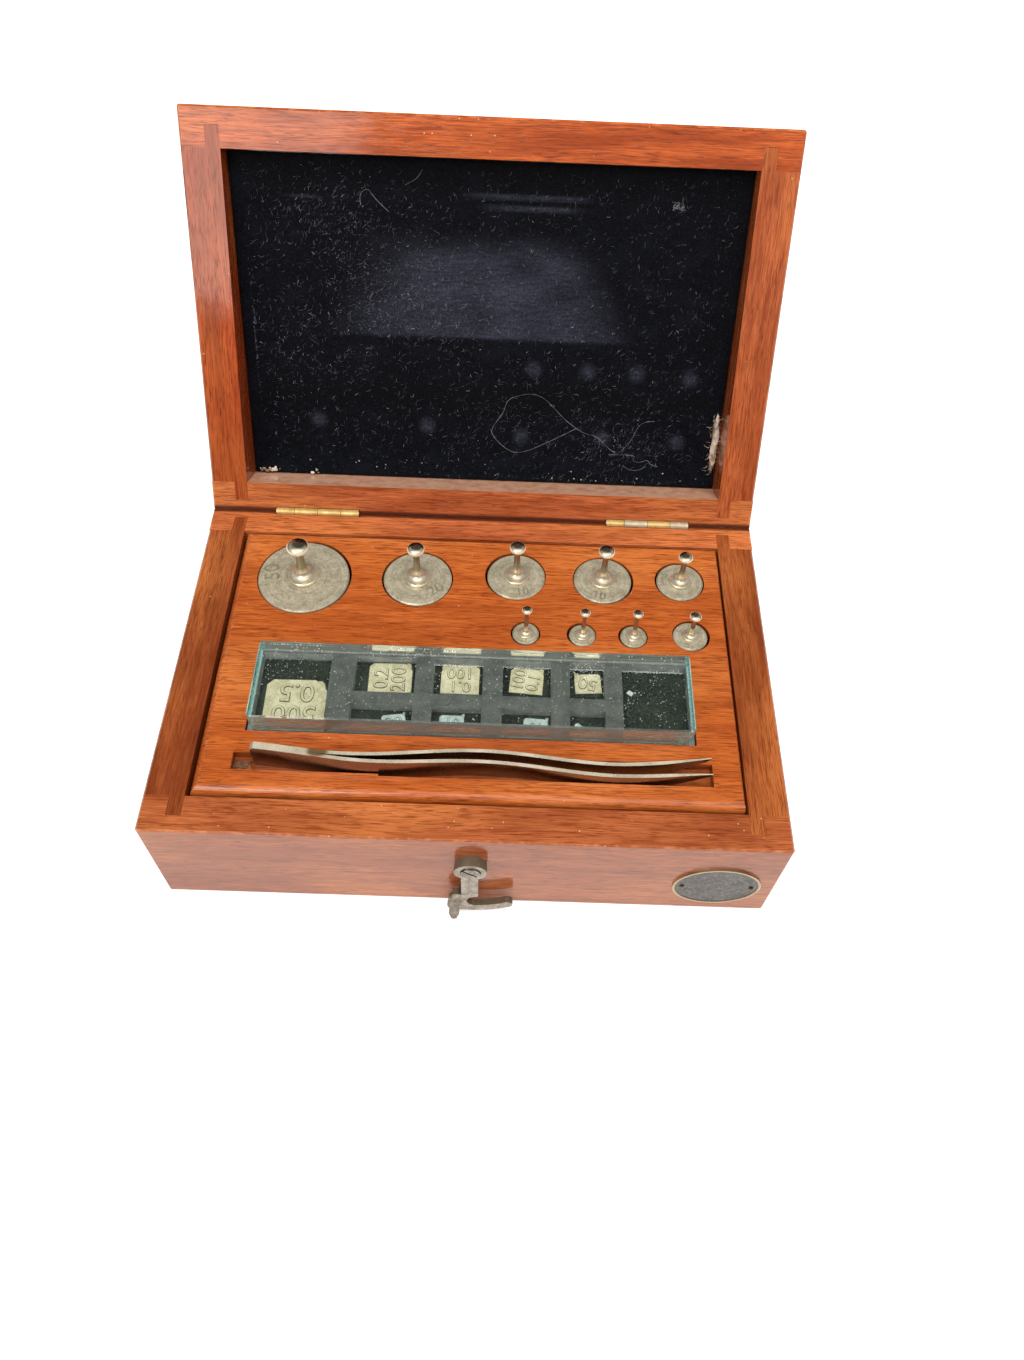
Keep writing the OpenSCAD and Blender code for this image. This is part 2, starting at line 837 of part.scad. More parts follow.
module hinge_right_pin() {
    hinge_pin(hinge_x);
}

// Hook

// Part of a ring between two radii, from one angle to another measured from straight down
module ring_part(r0, r1, from, to) {
    far = 2 * r1;
    intersection() {
        difference() {
            circle(r1, $fn = 128);
            circle(r0, $fn = 128);
        }
        polygon([
            [0, 0], [far * sin(from), -far * cos(from)],
            [far * sin((from + to) / 2), -far * cos((from + to) / 2)],
            [far * sin(to), -far * cos(to)]
        ]);
    }
}

// Hanging hook below its eye, without the thumb tab, seen from the front
module hook_outline() {
    claw_end = 28.5;
    claw_middle = claw_r + claw_w / 2;
    ledge = [-3.1, -12];
    lobe = [-3.2, -14.7];
    difference() {
        union() {
            translate([-shank_left, -claw_middle])
                square([shank_left + shank_right, claw_middle - eye_r * 0.7]);
            translate(ledge)
                circle(1.1);
            translate(lobe)
                circle(1.9);
            translate([lobe[0] - 0.9, lobe[1]])
                square([3, ledge[1] - lobe[1]]);
        }
        translate([1.35, -mouth_middle])
            circle(mouth_r);
        ring_part(mouth_middle - mouth_r, claw_r, 5, 60);
    }
    ring_part(claw_r, claw_r + claw_w, -9, claw_end);
    translate([claw_middle * sin(claw_end), -claw_middle * cos(claw_end)])
        circle(claw_w / 2);
}

// Thumb tab with its notched left edge, drawn flat with its root at the origin
module tab_outline() {
    difference() {
        union() {
            translate([0, -0.3])
                circle(1.6);
            translate([-1.2, -3.2])
                square([2.1, 3.2]);
            translate([-0.8, -1.3])
                circle(1);
            translate([-0.2, -3.4])
                circle(1.2);
            translate([-0.2, -4.2])
                circle(0.85);
        }
        translate([-1.7, -2.35])
            circle(0.4);
    }
}

module hook() {
    tab_t = 1.3;
    tab_lean = 36;
    tab_root = [-3.5, -14.2];
    bend_z = -eye_r * 0.7;
    color(NICKEL)
        translate([pivot_x, hook_y, pivot_z])
            difference() {
                union() {
                    translate([0, -hook_t / 2, 0])
                        along_y(hook_t)
                            circle(eye_r);
                    translate([0, 0, bend_z])
                        rotate([-hook_bend, 0, 0])
                            translate([0, -hook_t / 2, -bend_z])
                                along_y(hook_t)
                                    hook_outline();
                    translate([tab_root[0], -hook_t - 0.1, tab_root[1]])
                        rotate([-tab_lean, 0, 0])
                            along_y(tab_t)
                                tab_outline();
                }
                translate([0, -hook_t + head_sink, 0])
                    rotate([90, 0, 0])
                        cylinder(h = 5, r = screw_head_r + 0.12);
                rotate([90, 0, 0])
                    cylinder(h = 20, r = pivot_r + pivot_play, center = true);
            }
}

module hook_washer() {
    washer_r = eye_r - 0.1;
    color(NICKEL)
        translate([pivot_x, -half_d, pivot_z])
            rotate([90, 0, 0])
                difference() {
                    cylinder(h = washer_t - pivot_play, r = washer_r);
                    translate([0, 0, -1])
                        cylinder(h = washer_t + 2, r = pivot_r + pivot_play);
                }
}

module hook_screw() {
    slot_cut = 0.5;
    head_base = hook_t - head_sink + pivot_play;
    color(STEEL)
        translate([pivot_x, hook_y, pivot_z])
            rotate([90, 0, 0])
                difference() {
                    union() {
                        translate([0, 0, -washer_t - screw_l])
                            cylinder(h = screw_l + washer_t + head_base + eps, r = pivot_r);
                        translate([0, 0, head_base])
                            cylinder(h = screw_head_t, r = screw_head_r);
                    }
                    translate([0, 0, head_base + screw_head_t])
                        rotate([0, 0, -40])
                            cube([3 * screw_head_r, slot_cut, 2 * slot_cut], center = true);
                }
}

// Flush bush in the lid that takes the hook's catch pin
module catch_bush() {
    color(BRASS)
        opened()
            translate([bush_x, -half_d + bush_l, bush_z])
                rotate([90, 0, 0])
                    difference() {
                        cylinder(h = bush_l, r = bush_r);
                        translate([0, 0, -1])
                            cylinder(h = bush_l + 2, r = bush_bore_r);
                    }
}

// Maker's plate

function oval(w, h) = [for (a = [0 : 5 : 355]) [w / 2 * cos(a), h / 2 * sin(a)]];

module name_plate() {
    face_sink = 0.15;
    color("#2b2c2e")
        translate([plate_x, -half_d - plate_t / 2, plate_z])
            difference() {
                along_y(plate_t)
                    polygon(oval(plate_w, plate_h));
                translate([0, -plate_t, 0])
                    along_y(plate_t + 2 * face_sink)
                        polygon(oval(plate_w - 2 * plate_rim, plate_h - 2 * plate_rim));
                for (x = [-plate_pin_x, plate_pin_x])
                    translate([x, 0, 0])
                        along_y(2)
                            circle(plate_pin_r + fit);
            }
}

module name_plate_pins() {
    head_r = 0.6;
    head_t = 0.3;
    color(BRASS)
        for (x = [-plate_pin_x, plate_pin_x])
            translate([plate_x + x, -half_d, plate_z])
                rotate([90, 0, 0]) {
                    translate([0, 0, -plate_pin_l])
                        cylinder(h = plate_pin_l + plate_t, r = plate_pin_r);
                    translate([0, 0, plate_t - 0.15])
                        cylinder(h = head_t, r1 = head_r, r2 = head_r * 0.6);
                }
}

base_front();
base_back();
base_left();
base_right();
base_bottom();
weight_block();
grid_velvet();
sheet_grid();
cover_glass();
lid_front();
lid_back();
lid_left();
lid_right();
lid_panel();
lid_lining();
hinge_left_base_leaf();
hinge_left_lid_leaf();
hinge_left_pin();
hinge_right_base_leaf();
hinge_right_lid_leaf();
hinge_right_pin();
hook();
hook_washer();
hook_screw();
catch_bush();
name_plate();
name_plate_pins();
for (i = [0 : WEIGHT_COUNT - 1]) {
    weight_body(i);
    weight_knob(i);
}
for (i = [0 : SHEET_COUNT - 1]) {
    sheet_weight(i);
}
tweezer_back_arm();
tweezer_front_arm();
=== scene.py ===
"""The finish of a small mahogany case of balance weights: French-polished wood, black velvet, turned
and stamped weights, thin sheet weights under a slip of plate glass, tweezers, hook and oval plate."""

import json
import math
import random

import bpy
import numpy as np
from mathutils import Matrix, Vector, noise


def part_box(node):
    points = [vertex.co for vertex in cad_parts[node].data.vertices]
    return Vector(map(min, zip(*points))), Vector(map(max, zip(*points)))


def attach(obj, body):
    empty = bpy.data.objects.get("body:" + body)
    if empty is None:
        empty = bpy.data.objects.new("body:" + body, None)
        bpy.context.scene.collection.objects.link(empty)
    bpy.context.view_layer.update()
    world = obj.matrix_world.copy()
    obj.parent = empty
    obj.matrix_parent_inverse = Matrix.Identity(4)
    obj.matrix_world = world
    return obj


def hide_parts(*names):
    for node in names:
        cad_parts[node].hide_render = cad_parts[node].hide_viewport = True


MM = 0.001
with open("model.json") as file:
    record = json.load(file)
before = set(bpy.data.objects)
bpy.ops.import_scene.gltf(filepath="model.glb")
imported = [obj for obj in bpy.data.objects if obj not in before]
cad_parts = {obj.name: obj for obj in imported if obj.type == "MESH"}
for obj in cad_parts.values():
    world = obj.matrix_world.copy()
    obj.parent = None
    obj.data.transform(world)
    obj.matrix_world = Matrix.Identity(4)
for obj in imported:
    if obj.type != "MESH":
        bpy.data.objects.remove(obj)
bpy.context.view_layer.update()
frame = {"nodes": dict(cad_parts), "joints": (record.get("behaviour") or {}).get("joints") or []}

# The lid is modelled shut and then swung open about its hinge, as the frame holds it
HINGE = next(joint for joint in frame["joints"] if joint["name"] == "lid_hinge")
LID_OPEN = math.radians(HINGE["range_deg"][0])
HINGE_POINT = Vector(HINGE["pos_m"])
SWING = Matrix.Translation(HINGE_POINT) @ Matrix.Rotation(LID_OPEN, 4, "X") @ Matrix.Translation(-HINGE_POINT)

# Each knobbed weight, with the plain number that is stamped on it
WEIGHTS = {"50g": "50", "20g": "20", "10g_a": "10", "10g_b": "10", "5g": "5", "2g": "2", "1g_a": "1",
           "1g_b": "1", "1g_c": "1"}
SILVER_SHEETS = ("500mg", "200mg", "100mg_a", "100mg_b", "50mg")
ALUMINIUM_SHEETS = ("20mg", "10mg_a", "10mg_b", "5mg", "1mg")
# Millimetres
FLANGE_TOP = 33.4  # top of the knobs' flanges
LINING_HALF = (60.7, 38.05)  # the lid's velvet, from its middle to its edges
VELVET_GRID = 0.6  # step of a velvet's grid
WELD = 0.0005  # distance under which loose points are one
POINTS_FROM = 43.0  # where the tweezers' points begin
SLOT_FLOOR = 29.1  # floor of the tweezers' slot
# Shares
FLATNESS = 0.58  # of its height, left to a knob's ball when it is pressed flat
GATHERED = 0.45  # of the lint, lying in clusters


# Helpers


def colour(code):
    """An sRGB hex colour as the linear colour that a shader takes."""
    parts = [int(code[i : i + 2], 16) / 255 for i in (1, 3, 5)]
    return [p / 12.92 if p <= 0.04045 else ((p + 0.055) / 1.055) ** 2.4 for p in parts] + [1.0]


def link(tree, target, sources):
    """Gives a node's sockets what they take: a value, a socket, or the output in use of another node."""
    for socket, value in sources.items():
        if isinstance(value, bpy.types.Node):
            value = next(out for out in value.outputs if out.enabled)
        if isinstance(value, bpy.types.NodeSocket):
            tree.links.new(value, target.inputs[socket])
        else:
            target.inputs[socket].default_value = value


def add(tree, kind, fields=None, inputs=None):
    """Adds one node: fields are its own settings, inputs are what its sockets take."""
    made = tree.nodes.new("ShaderNode" + kind)
    for field, value in (fields or {}).items():
        setattr(made, field, value)
    link(tree, made, inputs or {})
    return made


def material(name, **shine):
    """A material with its Principled shader; shine gives the sockets that are the same all over."""
    made = bpy.data.materials.new(name)
    made.use_nodes = True
    shader = made.node_tree.nodes["Principled BSDF"]
    for socket, value in shine.items():
        shader.inputs[socket.replace("_", " ")].default_value = value
    return made, made.node_tree, shader


# Settings that many nodes share
SMOOTH = {"interpolation_type": "SMOOTHSTEP"}
OVER = {"data_type": "RGBA", "clamp_factor": True}
TIMES = {"operation": "MULTIPLY"}
TIMES_PLUS = {"operation": "MULTIPLY_ADD"}
PLUS = {"operation": "ADD"}
LESS = {"operation": "SUBTRACT"}
UNSIGNED = {"operation": "ABSOLUTE"}
LARGER = {"operation": "MAXIMUM"}
APART = {"operation": "DISTANCE"}
# Sockets of a colour mix, and of a step from low to high
SHARE, UNDER, TOP = 0, 6, 7
VALUE, LOW, HIGH, START, END = 0, 1, 2, 3, 4


def cells(x, y, z):
    """The scale at which a pattern's cell has these sizes, in millimetres."""
    return 1 / (x * MM), 1 / (y * MM), 1 / (z * MM)


def cell(size):
    """The scale at which a pattern's cell has this size all ways, in millimetres."""
    return 1 / (size * MM)


def layered(tree, tone, layers):
    """Lays colours over a tone, one after another. A layer is a pattern's value, the two marks that it runs
    between, the layer's share at each of them, and its colour."""
    for value, low, high, start, end, top in layers:
        share = add(tree, "MapRange", SMOOTH, {VALUE: value, LOW: low, HIGH: high, START: start, END: end})
        tone = add(tree, "Mix", OVER, {SHARE: share, UNDER: tone, TOP: colour(top)})
    return tone


def beyond(tree, place, low, high):
    """How far a place lies beyond the sides of a box, along each axis."""
    away = add(tree, "VectorMath", LESS, {0: place, 1: (low + high) / 2})
    away = add(tree, "VectorMath", UNSIGNED, {0: away})
    return add(tree, "VectorMath", LESS, {0: away, 1: (high - low) / 2})


# Materials


def mahogany(name, pale, deep, body, across=False, shift=0.0, porous=0.62, wild=0.55, dusty=0.0,
             hinge_shade=0.0, recess_shade_box=None):
    """Mahogany, quartered and French polished. Faint ribbon figure, fine fibres and short dark pores run
    along the board, and shellac gives it a deep gloss with faint waves. body is the box that the board is
    part of, whose corners are rubbed pale; across says that the board runs from front to back; shift gives
    each board its own stretch of the figure; porous, wild and dusty are how strongly pores, growth lines and
    dust show. The last two are how much painted shade darkens it towards the hinge, and the box of a block
    whose sockets and slots are darkened inside with painted shade."""
    made, tree, shader = material(name, Specular_IOR_Level=0.0, Coat_Weight=1.0, Coat_Roughness=0.07,
                                  Coat_IOR=1.54)
    place = add(tree, "TexCoord").outputs["Object"]
    low, high = body["box"]
    # A lid board is turned back to its shut place first, so that its figure lies straight
    shut = add(tree, "Mapping", {}, {"Vector": place, "Location": body["moved"],
                                     "Rotation": (body["turned"], 0, 0)})
    board = add(tree, "Mapping", {}, {"Vector": shut, "Location": (shift, shift * 0.37, 0),
                                      "Rotation": (0, 0, math.pi / 2 if across else 0)})
    # Grain lines waver by about a millimetre over four centimetres
    stretched = add(tree, "VectorMath", TIMES, {0: board, 1: cells(38, 8, 8)})
    waver = add(tree, "TexNoise", {}, {"Vector": stretched, "Scale": 1.0, "Detail": 1.0})
    drift = add(tree, "VectorMath", TIMES_PLUS,
                {0: waver.outputs["Color"], 1: (0, 2.2 * MM, 2.2 * MM), 2: board})
    # Each pattern of the grain: what it is drawn on, its cell in millimetres, its detail and its roughness.
    # Pores are 1 to 2 mm long and are drawn 0.2 mm wide, twice the real width, so that they show
    grain = {}
    for pattern, ground, size, detail, rough in (
            ("ribbon", drift, (34, 4.2, 4.2), 4.0, 0.62), ("fibre", drift, (6, 0.42, 0.42), 4.0, 0.7),
            ("vessel", drift, (3.8, 0.22, 0.22), 1.0, 0.5), ("hairline", drift, (8, 0.3, 0.3), 3.0, 0.6),
            ("crowd", drift, (11, 3, 3), 2.0, 0.5), ("growth", drift, (24, 1.2, 1.2), 3.0, 0.5),
            ("wave", drift, (6, 3, 3), 1.0, 0.5), ("broad", board, (60, 26, 26), 2.0, 0.5)):
        stretched = add(tree, "VectorMath", TIMES, {0: ground, 1: cells(*size)})
        grain[pattern] = add(tree, "TexNoise", {}, {"Vector": stretched, "Scale": 1.0, "Detail": detail,
                                                    "Roughness": rough})
    grain["ribbon"].inputs["Distortion"].default_value = 0.2
    crowded = add(tree, "Math", TIMES_PLUS, {0: grain["crowd"], 1: 0.3, 2: grain["vessel"]})
    pore_from, pore_to = 0.72, 0.84
    tone = layered(tree, colour(deep), (
        (grain["ribbon"], 0.26, 0.66, 0.0, 1.0, pale), (grain["fibre"], 0.36, 0.6, 0.62, 0.0, deep),
        (grain["fibre"], 0.58, 0.74, 0.0, 0.35, pale), (grain["broad"], 0.42, 0.68, 0.0, 0.42, "#d88446"),
        (grain["growth"], 0.55, 0.72, 0.0, wild, deep), (grain["hairline"], 0.48, 0.66, 0.0, 0.72, "#74300f"),
        (crowded, pore_from, pore_to, 0.0, porous, "#5c230d")))
    # Specks of dust and nicks in the polish, 0.3 mm across, lie thickest along the front edge
    nick = add(tree, "TexVoronoi", {}, {"Vector": place, "Scale": cell(1.5)})
    chance = add(tree, "SeparateColor", {}, {0: nick.outputs["Color"]}).outputs[1]
    split = add(tree, "SeparateXYZ", {}, {0: shut}).outputs
    forward = split["Y"]
    dense = add(tree, "MapRange", SMOOTH, {VALUE: forward, LOW: -36 * MM, HIGH: -42 * MM, END: 0.12})
    drawn = add(tree, "Math", PLUS, {0: chance, 1: dense})
    drawn = add(tree, "MapRange", SMOOTH, {VALUE: drawn, LOW: 0.95, HIGH: 1.0, END: 0.7})
    tone = layered(tree, tone, ((nick.outputs["Distance"], 0.13, 0.06, 0.0, drawn, "#eac6a4"),))
    # Along the box's own edges, two of the three distances to its sides are under 0.6 mm
    rim = Vector((0.6, 0.6, 0.6)) * MM
    inset = add(tree, "VectorMath", LARGER, {0: beyond(tree, shut, low + rim, high - rim), 1: (0, 0, 0)})
    sides = add(tree, "SeparateXYZ", {}, {0: inset}).outputs
    pairs = [add(tree, "Math", TIMES, {0: sides[a], 1: sides[b]}) for a, b in ((0, 1), (1, 2), (2, 0))]
    rub = add(tree, "Math", LARGER, {0: pairs[0], 1: pairs[1]})
    rub = add(tree, "Math", LARGER, {0: rub, 1: pairs[2]})
    chipped = add(tree, "TexNoise", {}, {"Vector": place, "Scale": cell(2.6), "Detail": 5.0})
    broken = add(tree, "MapRange", SMOOTH, {VALUE: chipped, LOW: 0.45, HIGH: 0.62, START: 0.05, END: 0.75})
    # Painted shade darkens a line along the hinges, in the gap between lid and base
    joint_shade = add(tree, "MapRange", SMOOTH, {VALUE: forward, LOW: HINGE_POINT.y - 1.3 * MM,
                                              HIGH: HINGE_POINT.y - 0.4 * MM, END: 0.9})
    off_joint = add(tree, "Math", LESS, {0: split["Z"], 1: HINGE_POINT.z})
    off_joint = add(tree, "Math", UNSIGNED, {0: off_joint})
    tone = layered(tree, tone, (
        (rub, 0.0, (0.5 * MM) ** 2, 0.0, broken, "#d2895a"),
        (off_joint, 1.4 * MM, 0.7 * MM, 0.0, joint_shade, "#35130a")))
    # Painted shade darkens the board towards the hinge
    if hinge_shade:
        tone = layered(tree, tone, ((forward, 0.0, 34 * MM, 0.0, hinge_shade, "#7c3013"),))
    if dusty:
        # Dust has settled where the open lid's own edge makes a shelf
        upward = add(tree, "SeparateXYZ", {}, {0: add(tree, "TexCoord").outputs["Normal"]}).outputs["Z"]
        lying = add(tree, "MapRange", SMOOTH, {VALUE: chipped, LOW: 0.25, HIGH: 0.65, START: dusty / 2,
                                               END: dusty})
        tone = layered(tree, tone, ((upward, 0.7, 0.85, 0.0, lying, "#c39a80"),))
    if recess_shade_box:
        # Under the top face, but not at the block's own sides, painted shade darkens the wood, and the polish
        # there is thinner
        around = add(tree, "SeparateXYZ", {}, {0: beyond(tree, place, *recess_shade_box)}).outputs
        within = add(tree, "Math", LARGER, {0: around["X"], 1: around["Y"]})
        within = add(tree, "MapRange", SMOOTH, {VALUE: within, LOW: -2.2 * MM, HIGH: -3.2 * MM})
        shade_below_top = add(tree, "MapRange", SMOOTH, {VALUE: around["Z"], LOW: -0.12 * MM, HIGH: -1.3 * MM})
        # The tweezers' slot gets less of this painted shade than the rest
        shade_share = add(tree, "MapRange", SMOOTH, {VALUE: forward, LOW: -26 * MM, HIGH: -24 * MM, START: 0.5,
                                                 END: 0.88})
        shade_below_top = add(tree, "Math", TIMES, {0: shade_below_top, 1: shade_share})
        # dark is how much painted shade the wood takes here
        dark = add(tree, "Math", TIMES, {0: within, 1: shade_below_top})
        tone = add(tree, "Mix", OVER, {SHARE: dark, UNDER: tone, TOP: colour("#4a2013")})
        link(tree, shader, {"Coat Weight": add(tree, "MapRange", {}, {VALUE: dark, START: 1.0, END: 0.15})})
    rough = add(tree, "MapRange", SMOOTH, {VALUE: grain["ribbon"], LOW: 0.3, HIGH: 0.7, START: 0.42,
                                           END: 0.3})
    # The polish sinks a little into the pores, and lies in faint waves 3 to 6 mm apart
    pore = add(tree, "MapRange", SMOOTH, {VALUE: crowded, LOW: pore_from, HIGH: pore_to})
    height = add(tree, "Math", TIMES_PLUS, {0: pore, 1: -0.3, 2: grain["wave"]})
    height = add(tree, "Math", TIMES_PLUS, {0: grain["fibre"], 1: 0.3, 2: height})
    bump = add(tree, "Bump", {}, {"Strength": 0.4, "Distance": 0.06 * MM, "Height": height})
    link(tree, shader, {"Base Color": tone, "Roughness": rough, "Normal": bump, "Coat Normal": bump})
    return made


def velvet(name, pile, worn, sheen):
    """Cotton velvet with a short cut pile. The pile soaks up light, and its tips glow at a slant; where it
    has been pressed flat, the ground weave shows paler. The painted attribute named pressed says where."""
    made, tree, shader = material(name, IOR=1.45, Roughness=0.95, Sheen_Roughness=0.4, Specular_IOR_Level=0.2)
    link(tree, shader, {"Sheen Weight": sheen, "Sheen Tint": colour("#8f9cc8")})
    place = add(tree, "TexCoord").outputs["Object"]
    pressed = add(tree, "Attribute", {"attribute_name": "pressed"}).outputs["Fac"]
    # Tufts are a quarter of a millimetre apart, drawn at 0.45 mm so that they show
    tuft = add(tree, "TexNoise", {}, {"Vector": place, "Scale": cell(0.45), "Detail": 2.0})
    brushed = add(tree, "VectorMath", TIMES, {0: place, 1: cells(9, 6, 6)})
    nap = add(tree, "TexNoise", {}, {"Vector": brushed, "Scale": 1.0, "Detail": 5.0, "Roughness": 0.65})
    woven = add(tree, "VectorMath", TIMES, {0: place, 1: cells(3, 0.42, 0.42)})
    rib = add(tree, "TexNoise", {}, {"Vector": woven, "Scale": 1.0, "Detail": 2.0})
    shade = layered(tree, colour(pile), (
        (tuft, 0.38, 0.74, 0.0, 0.5, worn), (nap, 0.45, 0.75, 0.0, 0.3, worn)))
    threads = add(tree, "MapRange", SMOOTH, {VALUE: rib, LOW: 0.3, HIGH: 0.66, START: 0.55, END: 1.0})
    mottled = add(tree, "MapRange", SMOOTH, {VALUE: tuft, LOW: 0.3, HIGH: 0.7, START: 0.55, END: 1.1})
    flat = add(tree, "Math", TIMES, {0: add(tree, "Math", TIMES, {0: pressed, 1: threads}), 1: mottled})
    shade = add(tree, "Mix", OVER, {SHARE: flat, UNDER: shade, TOP: colour("#4d4f60")})
    bump = add(tree, "Bump", {}, {"Strength": 0.8, "Distance": 0.25 * MM, "Height": tuft})
    link(tree, shader, {"Base Color": shade, "Normal": bump})
    return made


def old_metal(name, bright, dull, rough, spots="#4a3d26", spot_size=2.6, spot_share=0.3, metallic=1.0,
              worn_edges=False, stain=None, ball_above=0.0, turned=None, sides=None):
    """A plated or rolled metal gone dull with handling: cloudy tarnish, small dark specks and fine scratches.
    The painted attribute named dirt darkens what handling has filled, and paints shade along the lower
    edges of the sheets' raised figures. worn_edges says that the upper edges are filed bright; stain is a
    brown spot's middle; ball_above is the height of a knob's ball in millimetres; turned is the axis that a
    lathe's rings lie round; sides is an axis and the colour of painted shade on faces that don't look along
    it."""
    made, tree, shader = material(name, Metallic=metallic)
    place = add(tree, "TexCoord").outputs["Object"]
    facing = add(tree, "SeparateXYZ", {}, {0: add(tree, "TexCoord").outputs["Normal"]}).outputs
    cloud = add(tree, "TexNoise", {}, {"Vector": place, "Scale": cell(spot_size), "Detail": 5.0,
                                       "Roughness": 0.62})
    speck = add(tree, "TexNoise", {}, {"Vector": place, "Scale": cell(0.45), "Detail": 3.0})
    stroke = add(tree, "VectorMath", TIMES, {0: place, 1: cells(4.0, 0.12, 0.12)})
    scratch = add(tree, "TexNoise", {}, {"Vector": stroke, "Scale": 1.0, "Detail": 2.0})
    tone = layered(tree, colour(bright), (
        (cloud, 0.36, 0.66, 0.0, 1.0, dull), (speck, 0.56, 0.7, 0.0, spot_share, spots),
        (speck, 0.42, 0.3, 0.0, 0.6 * spot_share, "#efe9d8")))
    # Dirt in the stamped numbers, and painted shade along the sheets' raised figures
    dirt = add(tree, "Attribute", {"attribute_name": "dirt"}).outputs["Fac"]
    tone = add(tree, "Mix", OVER, {SHARE: dirt, UNDER: tone, TOP: colour("#3a3123")})
    if stain:
        # The spot is drawn out along the arms
        drawn_out = Vector((0.55, 1, 1))
        away = add(tree, "VectorMath", TIMES, {0: place, 1: drawn_out})
        away = add(tree, "VectorMath", APART, {0: away, 1: Vector(stain) * drawn_out * MM})
        soft = add(tree, "Math", TIMES_PLUS, {0: cloud, 1: 1.4 * MM, 2: away})
        tone = layered(tree, tone, ((soft, 2.5 * MM, 1.9 * MM, 0.0, 0.9, "#5e4629"),))
    if turned:
        # A lathe's rings, drawn half a millimetre apart
        spoke = add(tree, "VectorMath", TIMES, {0: place, 1: (1, 1, 0)})
        spoke = add(tree, "VectorMath", APART, {0: spoke, 1: turned})
        apart = add(tree, "CombineXYZ", {}, {0: add(tree, "Math", TIMES, {0: spoke, 1: cell(0.5)})})
        ring = add(tree, "TexNoise", {}, {"Vector": apart, "Scale": 1.0, "Detail": 2.0})
        tone = layered(tree, tone, ((ring, 0.35, 0.65, 0.0, 0.34, "#7c7461"),))
    # Painted shade darkens faces that don't look along the axis
    if sides:
        axis, shaded = sides
        along = add(tree, "Math", UNSIGNED, {0: facing[axis]})
        tone = layered(tree, tone, ((along, 0.9, 0.6, 0.0, 0.8, shaded),))
    if worn_edges:
        filed = add(tree, "MapRange", SMOOTH, {VALUE: facing["Z"], LOW: 0.5, HIGH: 0.8, START: metallic,
                                               END: 0.25})
        link(tree, shader, {"Metallic": filed})
    if ball_above:
        # From below: a worn flange, a stem gone brown, and a ball that keeps its polish only on top
        level = add(tree, "SeparateXYZ", {}, {0: place}).outputs["Z"]
        satin = add(tree, "MapRange", SMOOTH, {VALUE: facing["Z"], LOW: 0.45, HIGH: 0.8, START: 0.2})
        ball = {VALUE: level, LOW: ball_above * MM, HIGH: (ball_above + 0.3) * MM}
        high = add(tree, "MapRange", {}, {**ball, START: 0.9, END: satin})
        stem = add(tree, "MapRange", {}, {**ball, START: 0.8, END: 0.0})
        tone = layered(tree, tone, (
            (level, (FLANGE_TOP + 0.6) * MM, (FLANGE_TOP + 2.2) * MM, 0.0, stem, "#8f846f"),))
        dulled = add(tree, "MapRange", SMOOTH, {VALUE: level, LOW: FLANGE_TOP * MM,
                                                HIGH: (FLANGE_TOP + 2) * MM, START: 0.72, END: high})
        link(tree, shader, {"Metallic": dulled})
    worn = add(tree, "MapRange", SMOOTH, {VALUE: cloud, LOW: 0.3, HIGH: 0.7, START: rough, END: rough + 0.16})
    height = add(tree, "Math", TIMES_PLUS, {0: scratch, 1: 0.3, 2: speck})
    bump = add(tree, "Bump", {}, {"Strength": 0.2, "Distance": 0.02 * MM, "Height": height})
    link(tree, shader, {"Base Color": tone, "Roughness": worn, "Normal": bump})
    return made


def plate_glass():
    """Soda-lime plate glass, 6 mm thick, with polished faces and fine-ground edges. Iron in it turns the long
    way through green, and its ends are painted pale green to stand for light that has run along it. Lamps
    pass it, so that what lies under it is lit."""
    made, tree, shader = material("plate glass, edges ground", IOR=1.52)
    face = add(tree, "SeparateXYZ", {}, {0: add(tree, "TexCoord").outputs["Normal"]}).outputs
    end = add(tree, "Math", UNSIGNED, {0: face["X"]})
    end = add(tree, "MapRange", SMOOTH, {VALUE: end, LOW: 0.5, HIGH: 0.8})
    flat = add(tree, "Math", UNSIGNED, {0: face["Z"]})
    ground = add(tree, "MapRange", SMOOTH, {VALUE: flat, LOW: 0.8, HIGH: 0.5})
    tone = add(tree, "Mix", OVER, {SHARE: ground, UNDER: colour("#f4faf7"), TOP: colour("#b9b3a8")})
    # The ends are painted pale green, standing for light that has run the length of the glass
    tone = add(tree, "Mix", OVER, {SHARE: end, UNDER: tone, TOP: colour("#8fd0cd")})
    clearness = add(tree, "MapRange", {}, {VALUE: ground, START: 1.0, END: 0.8})
    clearness = add(tree, "MapRange", {}, {VALUE: end, START: clearness, END: 0.45})
    place = add(tree, "TexCoord").outputs["Object"]
    drawn = add(tree, "VectorMath", TIMES, {0: place, 1: cells(40, 0.5, 0.7)})
    drawn = add(tree, "TexNoise", {}, {"Vector": drawn, "Scale": 1.0, "Detail": 3.0})
    lines = add(tree, "MapRange", SMOOTH, {VALUE: drawn, LOW: 0.35, HIGH: 0.65, START: 0.05, END: 0.3})
    link(tree, shader, {"Base Color": tone, "Transmission Weight": clearness,
                        "Roughness": add(tree, "Math", TIMES, {0: ground, 1: lines})})
    clear = add(tree, "BsdfTransparent", {}, {"Color": colour("#f2f7f4")})
    lamp = add(tree, "LightPath").outputs["Is Shadow Ray"]
    both = add(tree, "MixShader", {}, {0: lamp, 1: shader, 2: clear})
    iron = add(tree, "VolumeAbsorption", {}, {"Color": colour("#74ccbd"), "Density": 9.0})
    link(tree, tree.nodes["Material Output"], {"Surface": both, "Volume": iron})
    return made


